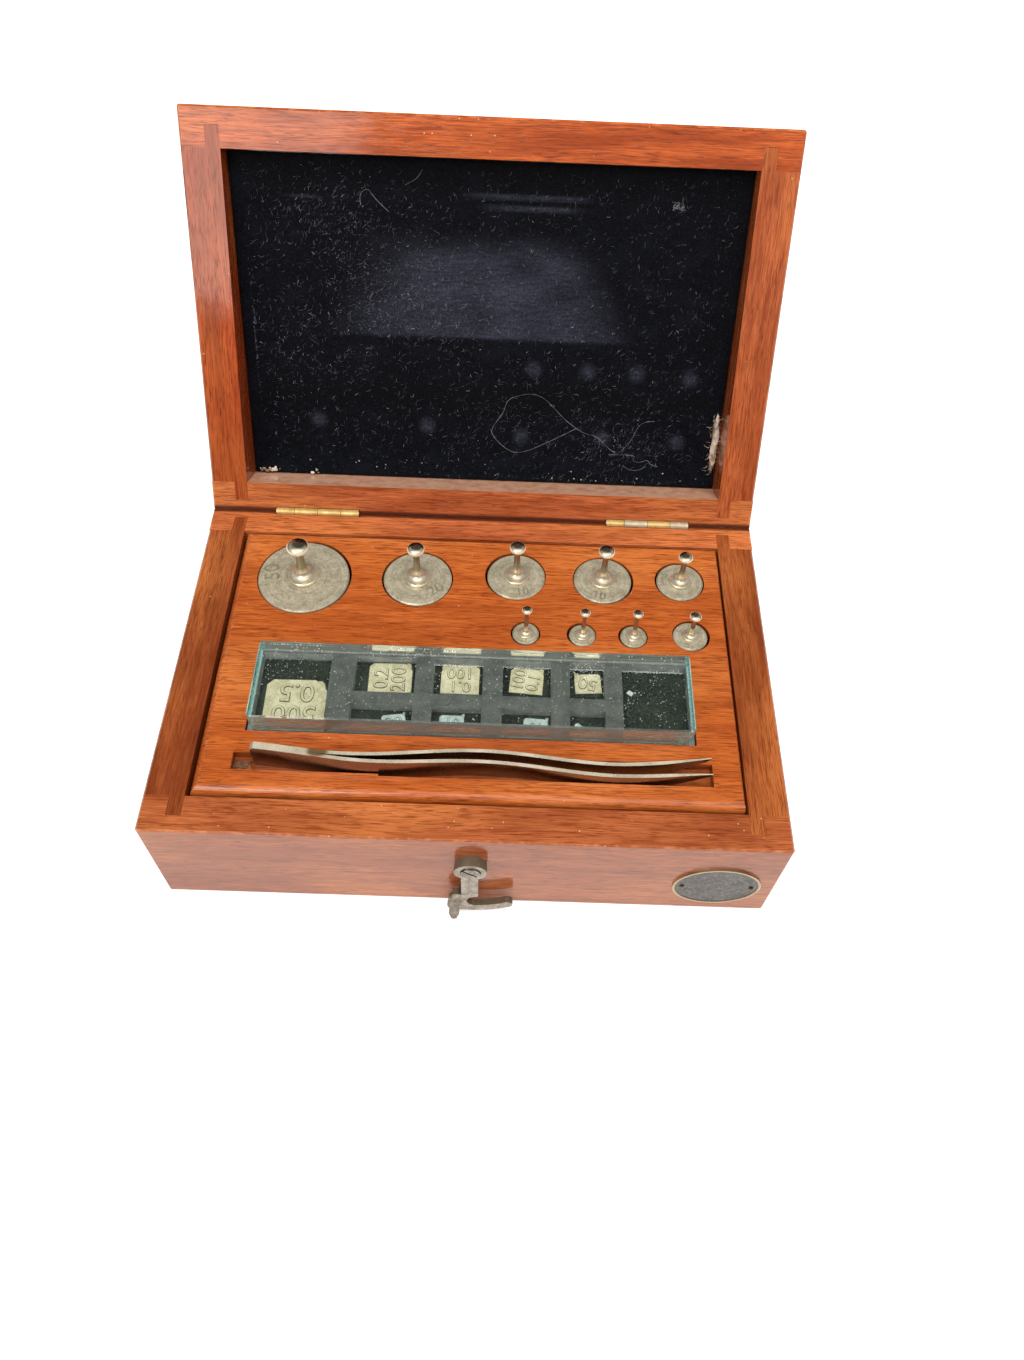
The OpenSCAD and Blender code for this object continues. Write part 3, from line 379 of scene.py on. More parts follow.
def enamelled_brass():
    """A domed brass plate filled with black stoving enamel, rubbed back to the brass at its rim."""
    made, tree, shader = material("black enamel on brass", IOR=1.5, Coat_Weight=0.3, Coat_Roughness=0.25)
    low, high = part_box("name_plate")
    middle, half = (low + high) / 2, (high - low) / 2
    place = add(tree, "TexCoord").outputs["Object"]
    # Distance from the plate's middle as a share of the oval: 1 is its edge
    centred = add(tree, "Mapping", {"vector_type": "TEXTURE"},
                  {"Vector": place, "Location": middle, "Scale": (half.x, 1.0, half.z)})
    flat = add(tree, "VectorMath", TIMES, {0: centred, 1: (1, 0, 1)})
    away = add(tree, "VectorMath", {"operation": "LENGTH"}, {0: flat})
    grit = add(tree, "TexNoise", {}, {"Vector": place, "Scale": cell(0.6), "Detail": 4.0})
    rubbed = add(tree, "TexNoise", {}, {"Vector": place, "Scale": cell(2.5), "Detail": 4.0})
    ragged = add(tree, "Math", TIMES_PLUS, {0: rubbed, 1: 0.03, 2: away})
    rim = add(tree, "MapRange", SMOOTH, {VALUE: ragged, LOW: 0.95, HIGH: 0.965})
    tone = layered(tree, colour("#1c1918"), ((grit, 0.42, 0.72, 0.0, 0.6, "#7c7267"),))
    tone = add(tree, "Mix", OVER, {SHARE: rim, UNDER: tone, TOP: colour("#bba88a")})
    rough = add(tree, "MapRange", SMOOTH, {VALUE: rubbed, LOW: 0.3, HIGH: 0.7, START: 0.32, END: 0.5})
    bump = add(tree, "Bump", {}, {"Strength": 0.6, "Distance": 0.05 * MM, "Height": grit})
    link(tree, shader, {"Base Color": tone, "Metallic": rim, "Roughness": rough, "Normal": bump})
    return made


def shut_box(*nodes):
    """Lowest and highest corner of some lid nodes with the lid shut."""
    back = SWING.inverted()
    spots = np.array([back @ v.co for node in nodes for v in frame["nodes"][node].data.vertices])
    return Vector(spots.min(0)), Vector(spots.max(0))


base_low, base_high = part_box("base_front")[0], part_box("base_back")[1]
base_box = Vector((base_low.x, base_low.y, 0)), base_high
BASE = {"box": base_box, "moved": (0, 0, 0), "turned": 0.0}
LID = {"box": shut_box("lid_front", "lid_back"), "moved": SWING.inverted().to_translation(),
       "turned": -LID_OPEN}


def knob_ball(label):
    """A knob's ball, in millimetres: its radius, and the heights of its flattened underside and its top."""
    low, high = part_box("weight_%s_knob" % label)
    middle = (low + high) / 2 / MM
    points = [v.co / MM for v in frame["nodes"]["weight_%s_knob" % label].data.vertices]
    upper = [p for p in points if p.z > (middle.z * 2 + high.z / MM) / 3]
    radius = max(math.hypot(p.x - middle.x, p.y - middle.y) for p in upper)
    return radius, high.z / MM - 2 * radius * FLATNESS, high.z / MM


# The finish of each node. The boards come first, each with its pale and its deep colour
FINISH = {}
for board, pale, deep, more in (
        ("weight_block", "#bb622b", "#9a481c", {"porous": 0.6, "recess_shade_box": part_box("weight_block")}),
        ("base_front", "#b1633a", "#8b4525", {"shift": 0.31}),
        ("base_back", "#c46e42", "#984d2a", {"shift": 0.52}),
        ("base_left", "#954c27", "#652d14", {"across": True, "shift": 0.13, "porous": 0.6, "wild": 0.7}),
        ("base_right", "#964d27", "#652c11", {"across": True, "shift": 0.77, "porous": 0.6, "wild": 0.7}),
        ("base_bottom", "#9a5230", "#6f3418", {"shift": 0.9}),
        ("lid_front", "#c15e2c", "#8c3812", {"shift": 0.22, "wild": 0.85}),
        ("lid_back", "#bb653b", "#8d411f", {"shift": 0.41, "dusty": 0.95}),
        ("lid_left", "#ae4c20", "#7f3114",
         {"across": True, "shift": 0.63, "porous": 0.8, "wild": 0.75, "hinge_shade": 0.42}),
        ("lid_right", "#b45f35", "#883d1c", {"across": True, "shift": 0.84, "porous": 0.6, "wild": 0.7}),
        ("lid_panel", "#b65f33", "#8a3d1a", {"shift": 0.15})):
    title = "mahogany, " + board.replace("_", " ") + (" end" if "across" in more else "")
    FINISH[board] = mahogany(title, pale, deep, LID if board.startswith("lid") else BASE, **more)
FINISH["sheet_grid"] = old_metal("black ebonite, satin", "#7a7876", "#656363", 0.5, spots="#7b7975",
                                 spot_size=3.0, metallic=0.0)
FINISH["cover_glass"] = plate_glass()
FINISH["name_plate"] = enamelled_brass()
FINISH["name_plate_pins"] = old_metal("brass pins, black with dirt", "#5a4c36", "#2e261c", 0.5,
                                      spots="#1b1712", spot_size=0.8)
FINISH["hinge_right_lid_leaf"] = old_metal("nickel-plated brass, hinge", "#e9dfc6", "#c3b492", 0.34,
                                           spots="#5f4f30", spot_size=3.0, spot_share=0.25, metallic=0.6)
for shared, nodes in (
        (old_metal("dull nickel plate", "#aea59c", "#8b8173", 0.4, spots="#4a4029", spot_size=1.9,
                   spot_share=0.6, metallic=0.7, sides=("Y", "#6f654c")),
         ("hook", "hook_washer")),
        (old_metal("tarnished brass", "#e6c684", "#c9a45f", 0.36, spots="#5f4620", spot_size=3.0,
                   spot_share=0.25, metallic=0.6),
         ("catch_bush", "hinge_left_base_leaf", "hinge_left_lid_leaf", "hinge_right_base_leaf")),
        (old_metal("screw steel", "#a39c92", "#736a60", 0.3, spots="#3d3228", spot_size=1.2, spot_share=0.6),
         ("hook_screw", "hinge_left_pin", "hinge_right_pin")),
        (old_metal("nickel on steel, tweezers", "#cdc3ae", "#aca18a", 0.18, spots="#5b4a34", spot_size=9.0,
                   spot_share=0.3, worn_edges=True, stain=(-33.0, -28.9, 36.8), sides=("Z", "#978b7b")),
         ("tweezer_back_arm", "tweezer_front_arm")),
        (old_metal("rolled nickel silver sheet", "#d0c0a6", "#b9a98b", 0.42, spots="#8b7d55", spot_share=0.5,
                   metallic=0.5),
         ["sheet_" + label for label in SILVER_SHEETS]),
        (old_metal("rolled aluminium sheet", "#c6cccb", "#a8b1b0", 0.42, spots="#7c8482", spot_share=0.4,
                   metallic=0.6),
         ["sheet_" + label for label in ALUMINIUM_SHEETS])):
    FINISH.update({node: shared for node in nodes})
for label in WEIGHTS:
    low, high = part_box("weight_%s_body" % label)
    FINISH["weight_%s_body" % label] = old_metal(
        "nickel-plated brass, turned, %s" % label, "#cbc2a8", "#a8a087", 0.36, spots="#5c5543",
        spot_share=0.6, metallic=0.4, turned=((low.x + high.x) / 2, (low.y + high.y) / 2, 0))
    FINISH["weight_%s_knob" % label] = old_metal(
        "nickel-plated brass, knob, %s" % label, "#f2e6ca", "#dfd1b2", 0.13, spots="#7d6c55",
        spot_share=0.35, ball_above=knob_ball(label)[1] + 0.1)


def coat(obj, finish):
    """Gives a mesh one material all over."""
    obj.data.materials.clear()
    obj.data.materials.append(finish)


for name, obj in frame["nodes"].items():
    if name in FINISH:
        coat(obj, FINISH[name])


# Making pieces


def placed(name, data):
    """A new object in the scene, with this mesh, lens or lamp."""
    obj = bpy.data.objects.new(name, data)
    bpy.context.scene.collection.objects.link(obj)
    return obj


def deselect():
    """Nothing is selected before a new piece is begun."""
    if bpy.context.object and bpy.context.object.mode != "OBJECT":
        bpy.ops.object.mode_set(mode="OBJECT")
    bpy.ops.object.select_all(action="DESELECT")


def choose(obj):
    """Makes obj the one that is worked on."""
    deselect()
    bpy.context.view_layer.objects.active = obj
    obj.select_set(True)


def edit_all():
    """Opens the chosen mesh with all of it picked."""
    bpy.ops.object.mode_set(mode="EDIT")
    bpy.ops.mesh.select_all(action="SELECT")


def close_edit(outward=True):
    """Closes the mesh again, its picked faces turned outward where that is asked for."""
    if outward:
        bpy.ops.mesh.normals_make_consistent(inside=False)
    bpy.ops.object.mode_set(mode="OBJECT")


def joined(parts):
    """Some objects as one."""
    choose(parts[0])
    for other in parts[1:]:
        other.select_set(True)
    bpy.ops.object.join()
    return parts[0]


def settle(obj, name, finish, body, angle=30.0, replaced=(), swung=False):
    """Names a finished piece, puts its place into its mesh, gives it its finish and seats it on its body."""
    choose(obj)
    bpy.ops.object.transform_apply(location=True, rotation=True, scale=True)
    if swung:
        obj.data.transform(SWING)
    bpy.ops.object.shade_smooth_by_angle(angle=math.radians(angle))
    obj.name = name
    obj.data.name = name
    coat(obj, finish)
    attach(obj, body)
    if replaced:
        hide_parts(*replaced)


def scattered(template, spots):
    """One mesh of many copies of a small modelled shape; each spot is the matrix of a copy."""
    shape = np.array([v.co for v in template.data.vertices])
    faces = [list(p.vertices) for p in template.data.polygons]
    points, rows = [], []
    for count, spot in enumerate(spots):
        m = np.array(spot)
        points.append(shape @ m[:3, :3].T + m[:3, 3])
        rows += [[i + count * len(shape) for i in face] for face in faces]
    made = bpy.data.meshes.new("scattered")
    made.from_pydata(np.concatenate(points).tolist(), [], rows)
    return placed("scattered", made)


# Velvet


def fade(value, start, end):
    """A smooth 0 to 1 between start and end."""
    t = min(1.0, max(0.0, (value - start) / (end - start)))
    return t * t * (3 - 2 * t)


def lining_level(x, y):
    """Height of the lid's velvet, shut, in millimetres: the knobs have pressed its wadding back in their two
    rows, and it stands prouder towards the front edge and round its border."""
    wadding, border = 41.15, 38.7 + 0.06 * y
    middle = wadding + 2.85 * fade(y, 12.5, 21) - 3.9 * fade(y, 4, -38)
    inward = min(LINING_HALF[0] - abs(x), LINING_HALF[1] - abs(y))
    return border + (middle - border) * fade(inward, 0, 6)


def velvet_sheet(low, high, down, level, press):
    """A sheet of velvet over a box: its pile side is a fine grid at level(x, y), dented by press(x, y), and
    its edges turn down to a flat back. down is True where the pile faces -Z."""
    deselect()
    size, middle = high - low, (low + high) / 2
    counts = [max(2, round(size[i] / (VELVET_GRID * MM))) for i in (0, 1)]
    bpy.ops.mesh.primitive_grid_add(x_subdivisions=counts[0], y_subdivisions=counts[1], size=1.0)
    obj = bpy.context.object
    back, inward = (high.z, 1) if down else (low.z, -1)
    marks = []
    for v in obj.data.vertices:
        x, y = middle.x + v.co.x * size.x, middle.y + v.co.y * size.y
        edge = min(x - low.x, high.x - x, y - low.y, high.y - y) / MM
        # The cloth rolls over at its cut edge within about a millimetre
        roll = 0.35 * max(0.0, 1 - edge / 1.1) ** 2
        dent, mark = press(x / MM, y / MM)
        ripple = 0.05 * (noise.noise(Vector((x, y, 0)) / (7 * MM)) + 1)
        v.co = (x, y, (level(x / MM, y / MM) + inward * (roll + dent + ripple)) * MM)
        marks.append(mark)
    painted = obj.data.attributes.new("pressed", "FLOAT", "POINT")
    painted.data.foreach_set("value", marks)
    edit_all()
    bpy.ops.mesh.select_mode(type="EDGE")
    bpy.ops.mesh.region_to_loop()
    bpy.ops.mesh.extrude_edges_move()
    bpy.ops.transform.resize(value=(1, 1, 0), center_override=(middle.x, middle.y, back))
    bpy.ops.mesh.edge_face_add()
    bpy.ops.mesh.select_all(action="SELECT")
    close_edit()
    return obj


def soft_spot(x, y, spot, radius):
    """1 at the middle of a round spot, falling smoothly to 0 at its radius."""
    away = math.hypot(x - spot[0], y - spot[1]) / radius
    return max(0.0, 1 - away * away) ** 2


KNOB_SPOTS = [sum(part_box("weight_%s_knob" % label), Vector()).xy / 2 / MM for label in WEIGHTS]


def lid_press(x, y):
    """How deep, in millimetres, and how pale the lid's velvet is: marks of what it shuts on, and a pale
    patch.
    """
    dent, mark = 0.0, 0.0
    for spot in KNOB_SPOTS:
        dent += 0.4 * soft_spot(x, y, spot, 2.8)
        mark += 0.36 * soft_spot(x, y, spot, 2.9) * (1 + 0.6 * noise.noise(Vector((x, y, 0.0))))
    # A paler patch with a crisp near edge, dented a tenth of a millimetre, lies over where the glass is
    patch = fade(x + 0.5 * y, -44, -18) * fade(x - 0.5 * y, 38, 20) * fade(y, 2.4, 1.4) * fade(y, -24, -15)
    cloudy = 0.75 + 0.5 * noise.noise(Vector((x / 9, y / 6, 3.0)))
    mark += 0.5 * patch * cloudy
    dent += 0.1 * patch
    # The tweezers have left two thin lines
    for line, start, end in ((-30.6, -8, 26), (-28.2, -4, 24), (-29.0, -50, -38)):
        mark += 0.5 * fade(abs(y - line), 0.55, 0.1) * fade(x, start, start + 8) * fade(x, end, end - 8)
    return dent, min(1.0, mark)


lid_velvet = velvet("black cotton velvet", "#020305", "#151822", 0.08)
low, high = shut_box("lid_lining")
lining = velvet_sheet(low, high, True, lining_level, lid_press)
settle(lining, "lid_velvet", lid_velvet, "lid", 60, ("lid_lining",), swung=True)

tray_velvet = velvet("black velvet, dusty", "#161815", "#4a4e45", 0.2)
low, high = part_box("grid_velvet")
tray_cloth = velvet_sheet(low, high, False, lambda x, y: high.z / MM, lambda x, y: (0.0, 0.0))
settle(tray_cloth, "tray_velvet", tray_velvet, "case_base", 60, ("grid_velvet",))


# Lint, dust and crumbs


def hair_shape():
    """One short hair, a millimetre long: three sides, drawn out in five steps, each turned a bit further."""
    deselect()
    bpy.ops.mesh.primitive_circle_add(vertices=3, radius=0.028 * MM, fill_type="NGON",
                                      rotation=(0, math.pi / 2, 0))
    obj = bpy.context.object
    bpy.ops.object.transform_apply(location=True, rotation=True, scale=True)
    edit_all()
    reach, bend = Vector((0, 0, 0)), 0.0
    for _ in range(5):
        bend += math.radians(13)
        move = Vector((math.cos(bend), math.sin(bend), 0)) * 0.2 * MM
        bpy.ops.mesh.extrude_region_move(TRANSFORM_OT_translate={"value": move})
        reach += move
    bpy.ops.transform.resize(value=(0.3, 0.3, 0.3), center_override=reach)
    bpy.ops.mesh.select_all(action="SELECT")
    close_edit()
    return obj


def crumb_shape():
    """One flat crumb, a millimetre across, with a broken outline."""
    deselect()
    bpy.ops.mesh.primitive_ico_sphere_add(subdivisions=1, radius=0.5 * MM)
    obj = bpy.context.object
    edit_all()
    bpy.ops.transform.vertex_random(offset=0.16 * MM, seed=4)
    bpy.ops.transform.resize(value=(1, 0.7, 0.45))
    close_edit(outward=False)
    return obj


rng = random.Random(7)


def strewn(count, low, high, level, lengths, turn_middle, turn_spread, tilt=0.25, clusters=()):
    """Places for hairs or crumbs at level(x, y): each has a spot, a turn about it, a tilt and a size."""
    spots = []
    for _ in range(count):
        if clusters and rng.random() < GATHERED:
            x0, y0, spread = clusters[rng.randrange(len(clusters))]
            x, y = rng.gauss(x0, spread), rng.gauss(y0, spread * 0.7)
        else:
            x, y = rng.uniform(low[0], high[0]), rng.uniform(low[1], high[1])
        x, y = min(high[0], max(low[0], x)), min(high[1], max(low[1], y))
        size = rng.uniform(*lengths)
        turn = math.radians(rng.gauss(turn_middle, turn_spread) + 180 * rng.randrange(2))
        lean = rng.uniform(-tilt, tilt)
        spots.append(Matrix.Translation((x * MM, y * MM, level(x, y) * MM)) @ Matrix.Rotation(turn, 4, "Z")
                     @ Matrix.Rotation(lean, 4, "X") @ Matrix.Diagonal((size, size, 1, 1)))
    return spots


def long_hair(points, above, thick):
    """A loose thread through some points, above the lid's velvet, as a fine tube of six sides."""
    deselect()
    bpy.ops.curve.primitive_nurbs_path_add()
    obj = bpy.context.object
    line = obj.data.splines[0]
    line.points.add(len(points) - len(line.points))
    for spot, (x, y) in zip(line.points, points):
        spot.co = (x * MM, y * MM, (lining_level(x, y) - above) * MM, 1)
    line.order_u = 3
    line.use_endpoint_u = True
    obj.data.resolution_u = 5
    obj.data.bevel_depth = thick * MM / 2
    obj.data.bevel_resolution = 1
    obj.data.use_fill_caps = True
    bpy.ops.object.convert(target="MESH")
    return bpy.context.object


def lint(name, dark, pale):
    """Cotton and wool lint, matt, each hair of its own shade."""
    made, tree, shader = material(name, Roughness=0.9, Sheen_Weight=0.3, Specular_IOR_Level=0.2)
    place = add(tree, "TexCoord").outputs["Object"]
    shades = add(tree, "TexNoise", {}, {"Vector": place, "Scale": cell(2), "Detail": 3.0})
    link(tree, shader, {"Base Color": layered(tree, colour(dark), ((shades, 0.35, 0.65, 0.0, 1.0, pale),))})
    return made


dim_lint = lint("dark cotton lint", "#24262e", "#5e606a")
grey_lint = lint("grey cotton lint", "#6b6d74", "#c4c5c8")
threads_lint = lint("loose cotton thread", "#3a3c44", "#777981")
wool = lint("pale wool fluff and old glue", "#7b5f49", "#d9cbbb")
grey_dust = lint("grey dust", "#a3a39f", "#f0eee8")
brown_lint = lint("brown fluff and sawdust", "#43281a", "#8f6845")
hair, crumb = hair_shape(), crumb_shape()


def on_lining(above):
    """The level this far above the lid's velvet, in millimetres."""
    return lambda x, y: lining_level(x, y) - above


def strew(template, spots, name, finish, body="lid"):
    """Settles hairs or crumbs at their places; those of the lid are swung open with it."""
    angle = 30 if template is crumb else 60
    settle(scattered(template, spots), name, finish, body, angle, swung=body == "lid")


LID_LOW, LID_HIGH = (-58, -36), (58.5, 37)
LINTY = ((-20, -8, 9), (-12, -5, 7), (-38, -25, 9), (10, 24, 14), (36, 28, 9), (-48, 4, 12))
specks = strewn(4200, LID_LOW, LID_HIGH, on_lining(0.04), (0.3, 1.6), 90, 42, clusters=LINTY)
strew(hair, specks, "lid_lint", dim_lint)
specks = strewn(800, LID_LOW, LID_HIGH, on_lining(0.06), (0.15, 1.0), 90, 50, clusters=LINTY)
specks += strewn(520, (-40, -28), (-12, 0), on_lining(0.06), (0.1, 0.6), 90, 60,
                 clusters=((-24, -5, 6), (-30, -12, 5)))
strew(hair, specks, "lid_lint_pale", grey_lint)

# Loose threads lie where the photograph shows them, each a chain of points in millimetres
THREADS = (
    ((23.8, 24.1), (16.7, 28.0), (8.9, 31.6), (5.2, 30.2), (2.1, 27.3), (1.1, 25.2), (4.6, 20.6),
     (5.1, 17.6), (7.1, 16.1), (11.8, 14.9), (15.5, 16.6), (20.9, 22.4), (26.3, 25.7), (29.0, 25.7),
     (33.0, 29.5), (35.2, 30.6), (36.6, 29.0), (38.8, 26.2), (39.5, 23.8), (41.1, 21.6), (44.1, 21.5)),
    ((32.8, 30.7), (36.4, 30.6), (40.1, 30.8), (39.0, 32.0), (40.9, 32.7), (43.3, 31.6), (44.0, 33.1),
     (45.9, 33.3)),
    ((36.7, 33.4), (37.6, 34.0), (38.6, 34.4), (41.1, 34.5), (42.8, 33.4)),
    ((-30.6, -27.7), (-31.1, -29.9), (-28.8, -31.5), (-27.3, -29.1), (-24.0, -26.4)),
    ((-20.1, -32.3), (-19.0, -32.9), (-17.9, -33.4), (-16.8, -34.4), (-16.0, -35.7)),
)
threads = joined([long_hair(points, 0.05, 0.1) for points in THREADS])
settle(threads, "lid_threads", threads_lint, "lid", 60, swung=True)


def torn_edge():
    """The lining's torn cut edge, where its wadding and old glue stand out beside the lid's right end."""
    deselect()
    bpy.ops.mesh.primitive_ico_sphere_add(subdivisions=4, radius=1.0)
    obj = bpy.context.object
    right = shut_box("lid_lining")[1].x / MM
    for v in obj.data.vertices:
        rough = 1 + 0.5 * noise.noise(v.co * 2.3) + 0.3 * noise.noise(v.co * 6)
        x, y = right - 0.95 + v.co.x * 0.75 * rough, 25.8 + v.co.y * 7.6 + 0.4 * noise.noise(v.co * 3)
        v.co = Vector((x, y, lining_level(right, y) + v.co.z * 0.75 * rough)) * MM
        v.co.x = min(v.co.x, right * MM)
    return obj


settle(torn_edge(), "lid_torn_edge", wool, "lid", 60, swung=True)
tufts = strewn(90, (58.6, 18), (60.5, 33.5), on_lining(0.4), (0.8, 2.2), 80, 50, tilt=0.9)
strew(hair, tufts, "lid_tufts", wool)
knot = strewn(36, (42.6, -31), (45.4, -29), on_lining(0.1), (0.4, 1.3), 90, 60, tilt=0.5)
strew(hair, knot, "lid_knot", grey_lint)
bits = strewn(14, (-60.4, 36.6), (-55, 37.6), on_lining(0.3), (0.4, 1.4), 0, 60)
bits += strewn(5, (-47, 36.8), (-44, 37.7), on_lining(0.3), (0.4, 1.0), 0, 60)
bits += strewn(30, (-60, 34), (60, 37.4), on_lining(0.1), (0.15, 0.5), 0, 90)
strew(crumb, bits, "lid_crumbs", wool)


def strewn_over(node, count, above, *how, **more):
    """Places all over a node's upper face, a millimetre in from its edges."""
    low, high = (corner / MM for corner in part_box(node))
    rim = Vector((1, 1))
    return strewn(count, low.xy + rim, high.xy - rim, lambda x, y: high.z + above, *how, **more)


dust = strewn_over("cover_glass", 900, 0.01, (0.08, 0.3), 0, 90, tilt=0.1,
                   clusters=((-14, -0.6, 2.5), (-44, -4, 5), (25, -6, 2.5), (40, -10, 8)))
strew(crumb, dust, "glass_dust", grey_dust, "cover_glass")
fluff = strewn_over("grid_velvet", 520, 0.03, (0.15, 0.6), 30, 60,
                    clusters=((42, -10, 6), (-41, -5, 6), (22, -4, 6)))
strew(hair, fluff, "tray_lint", grey_lint, "case_base")

# Sawdust and fluff have gathered at the left end of the tweezers' slot, on its floor
for template, name, count, above, lengths, tilt in (
        (crumb, "slot_sawdust", 150, 0.1, (0.2, 0.7), 0.6), (hair, "slot_fluff", 70, 0.3, (0.5, 1.4), 0.5)):
    bits = strewn(count, (-52.6, -31.2), (-48.6, -28.0), lambda x, y: SLOT_FLOOR + above, lengths, 0, 90,
                  tilt=tilt)
    strew(template, bits, name, brown_lint, "case_base")
for shape in (hair, crumb):
    bpy.data.objects.remove(shape)


# Stamped numbers


def traced(node, name):
    """A copy of a CAD node with its loose faces joined up, ready to be cut."""
    obj = placed(name, frame["nodes"][node].data.copy())
    choose(obj)
    bpy.ops.mesh.customdata_custom_splitnormals_clear()
    edit_all()
    bpy.ops.mesh.remove_doubles(threshold=WELD * MM)
    close_edit(outward=False)
    return obj


def numeral(text, height, spot, turned, bevel):
    """A number as a thin solid, lying flat at spot with its middle there."""
    deselect()
    bpy.ops.object.text_add(location=spot, rotation=(0, 0, math.radians(turned)))
    obj = bpy.context.object
    obj.data.body = text
    obj.data.size = height * MM * 1.4
    obj.data.align_x = "CENTER"
    obj.data.align_y = "CENTER"
    obj.data.extrude = 0.02 * MM
    obj.data.bevel_depth = bevel * MM
    obj.data.offset = -bevel * MM / 2
    obj.data.bevel_resolution = 1
    obj.data.resolution_u = 4
    bpy.ops.object.convert(target="MESH")
    obj = bpy.context.object
    bpy.ops.object.transform_apply(location=True, rotation=True, scale=True)
    edit_all()
    bpy.ops.mesh.remove_doubles(threshold=WELD * MM)
    close_edit()
    return obj


def paint_dirt_and_shade(obj, marks):
    """Paints how much of the dark dirt colour each point of a mesh takes: real dirt, or painted shade."""
    painted = obj.data.attributes.new("dirt", "FLOAT", "POINT")
    painted.data.foreach_set("value", marks)


# Height of the number, its turn, and the direction and share of the radius at which it is struck
STRUCK = {"50g": (3.8, 100, 172, 0.7), "20g": (3.0, 35, -36, 0.68), "10g_a": (2.4, 8, -72, 0.72),
          "10g_b": (2.4, -12, -100, 0.72), "5g": (2.0, 40, 150, 0.72), "2g": (1.5, 12, -105, 0.74),
          "1g_a": (1.0, 0, -90, 0.8), "1g_b": (1.0, 25, -60, 0.8), "1g_c": (1.0, -20, -120, 0.8)}
for label, number in WEIGHTS.items():
    node = "weight_%s_body" % label
    low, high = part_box(node)
    middle, radius = (low + high) / 2, (high.x - low.x) / 2
    tall, turned, bearing, reach = STRUCK[label]
    away = Vector((math.cos(math.radians(bearing)), math.sin(math.radians(bearing)), 0)) * radius * reach
    spot = Vector((middle.x, middle.y, high.z)) + away
    body = traced(node, "stamped_%s" % label)
    stamp = numeral(number, tall, spot, turned, 0.05 + 0.025 * tall)
    choose(body)
    cut = body.modifiers.new("strike", "BOOLEAN")
    cut.operation = "DIFFERENCE"
    cut.solver = "EXACT"
    cut.object = stamp
    bpy.ops.object.modifier_apply(modifier=cut.name)
    bpy.data.objects.remove(stamp)
    struck = [v.co.z < high.z - 0.03 * MM and (v.co - middle).xy.length < radius * 0.95
              for v in body.data.vertices]
    paint_dirt_and_shade(body, [0.42 if below else 0.0 for below in struck])
    settle(body, "weight_%s_stamped" % label, FINISH[node], "weight_%s" % label, 30, (node,))


def ground_point(node, bend):
    """A tweezer arm whose last millimetres are ground thin and bent a little out."""
    obj = traced(node, node + "_ground")
    points = [v.co / MM for v in obj.data.vertices]
    tip = max(p.x for p in points)
    for v, p in zip(obj.data.vertices, points):
        if p.x > POINTS_FROM + 0.01:
            near = [q.y for q in points if abs(q.x - p.x) < 0.02]
            middle = (min(near) + max(near)) / 2
            along = (p.x - POINTS_FROM) / (tip - POINTS_FROM)
            v.co.y = (middle + (p.y - middle) * (1 - 0.75 * along) + bend * along * along) * MM
    return obj


def flattened(label):
    """A weight's knob with its ball pressed flat, as a button, and its stem reaching up to it."""
    node = "weight_%s_knob" % label
    obj = traced(node, node + "_flat")
    radius, under, top = knob_ball(label)
    round_under = top - 2 * radius
    for v in obj.data.vertices:
        z = v.co.z / MM
        if z > round_under:
            v.co.z = (top - FLATNESS * (top - z)) * MM
        elif z > FLANGE_TOP:
            v.co.z = (FLANGE_TOP + (z - FLANGE_TOP) * (under - FLANGE_TOP) / (round_under - FLANGE_TOP)) * MM
    return obj


for label in WEIGHTS:
    node = "weight_%s_knob" % label
    settle(flattened(label), node + "_flat", FINISH[node], "weight_" + label, 30, (node,))
for node, body, bend in (("tweezer_back_arm", "tweezers", 0.3), ("tweezer_front_arm", "tweezer_front", 0.05)):
    settle(ground_point(node, bend), node + "_ground", FINISH[node], body, 30, (node,))

# The figures on each sheet: how far the sheet's reading is turned, and its words, in lines
RAISED = {"500mg": (180, ("500", "0.5")), "200mg": (90, ("0.2", "200")), "100mg_a": (180, ("0.1", "100")),
          "100mg_b": (78, ("100", "0.1")), "50mg": (168, ("50",)), "20mg": (12, ("20",)),
          "10mg_a": (0, ("10",)), "10mg_b": (175, ("10",)), "5mg": (-30, ("5",))}
for label, (turned, lines) in RAISED.items():
    node = "sheet_%s" % label
    low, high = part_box(node)
    # The flat part's upper face is the second lowest level of the sheet's points
    upper = sorted({round(v.co.z / MM, 2) for v in frame["nodes"][node].data.vertices})[1] * MM
    middle, depth = (low + high) / 2, min(high.x - low.x, high.y - low.y)
    tall = depth / MM * (0.38 if len(lines) == 2 else 0.55)
    down = Matrix.Rotation(math.radians(turned), 3, "Z") @ Vector((0, -1, 0))
    slope = 0.1 + 0.03 * tall
    made = []
    for row, text in enumerate(lines):
        spot = Vector((middle.x, middle.y, upper)) + down * depth * 0.23 * (2 * row - len(lines) + 1)
        made.append(numeral(text, tall, spot, turned, slope))
    figures = joined(made)
    # Painted shade outlines each raised figure along its lower edge
    paint_dirt_and_shade(figures, [1.0 if v.co.z < upper + 0.85 * slope * MM else 0.0 for v in figures.data.vertices])
    settle(figures, node + "_numbers", FINISH[node], node, 50)


# Camera, floor and light


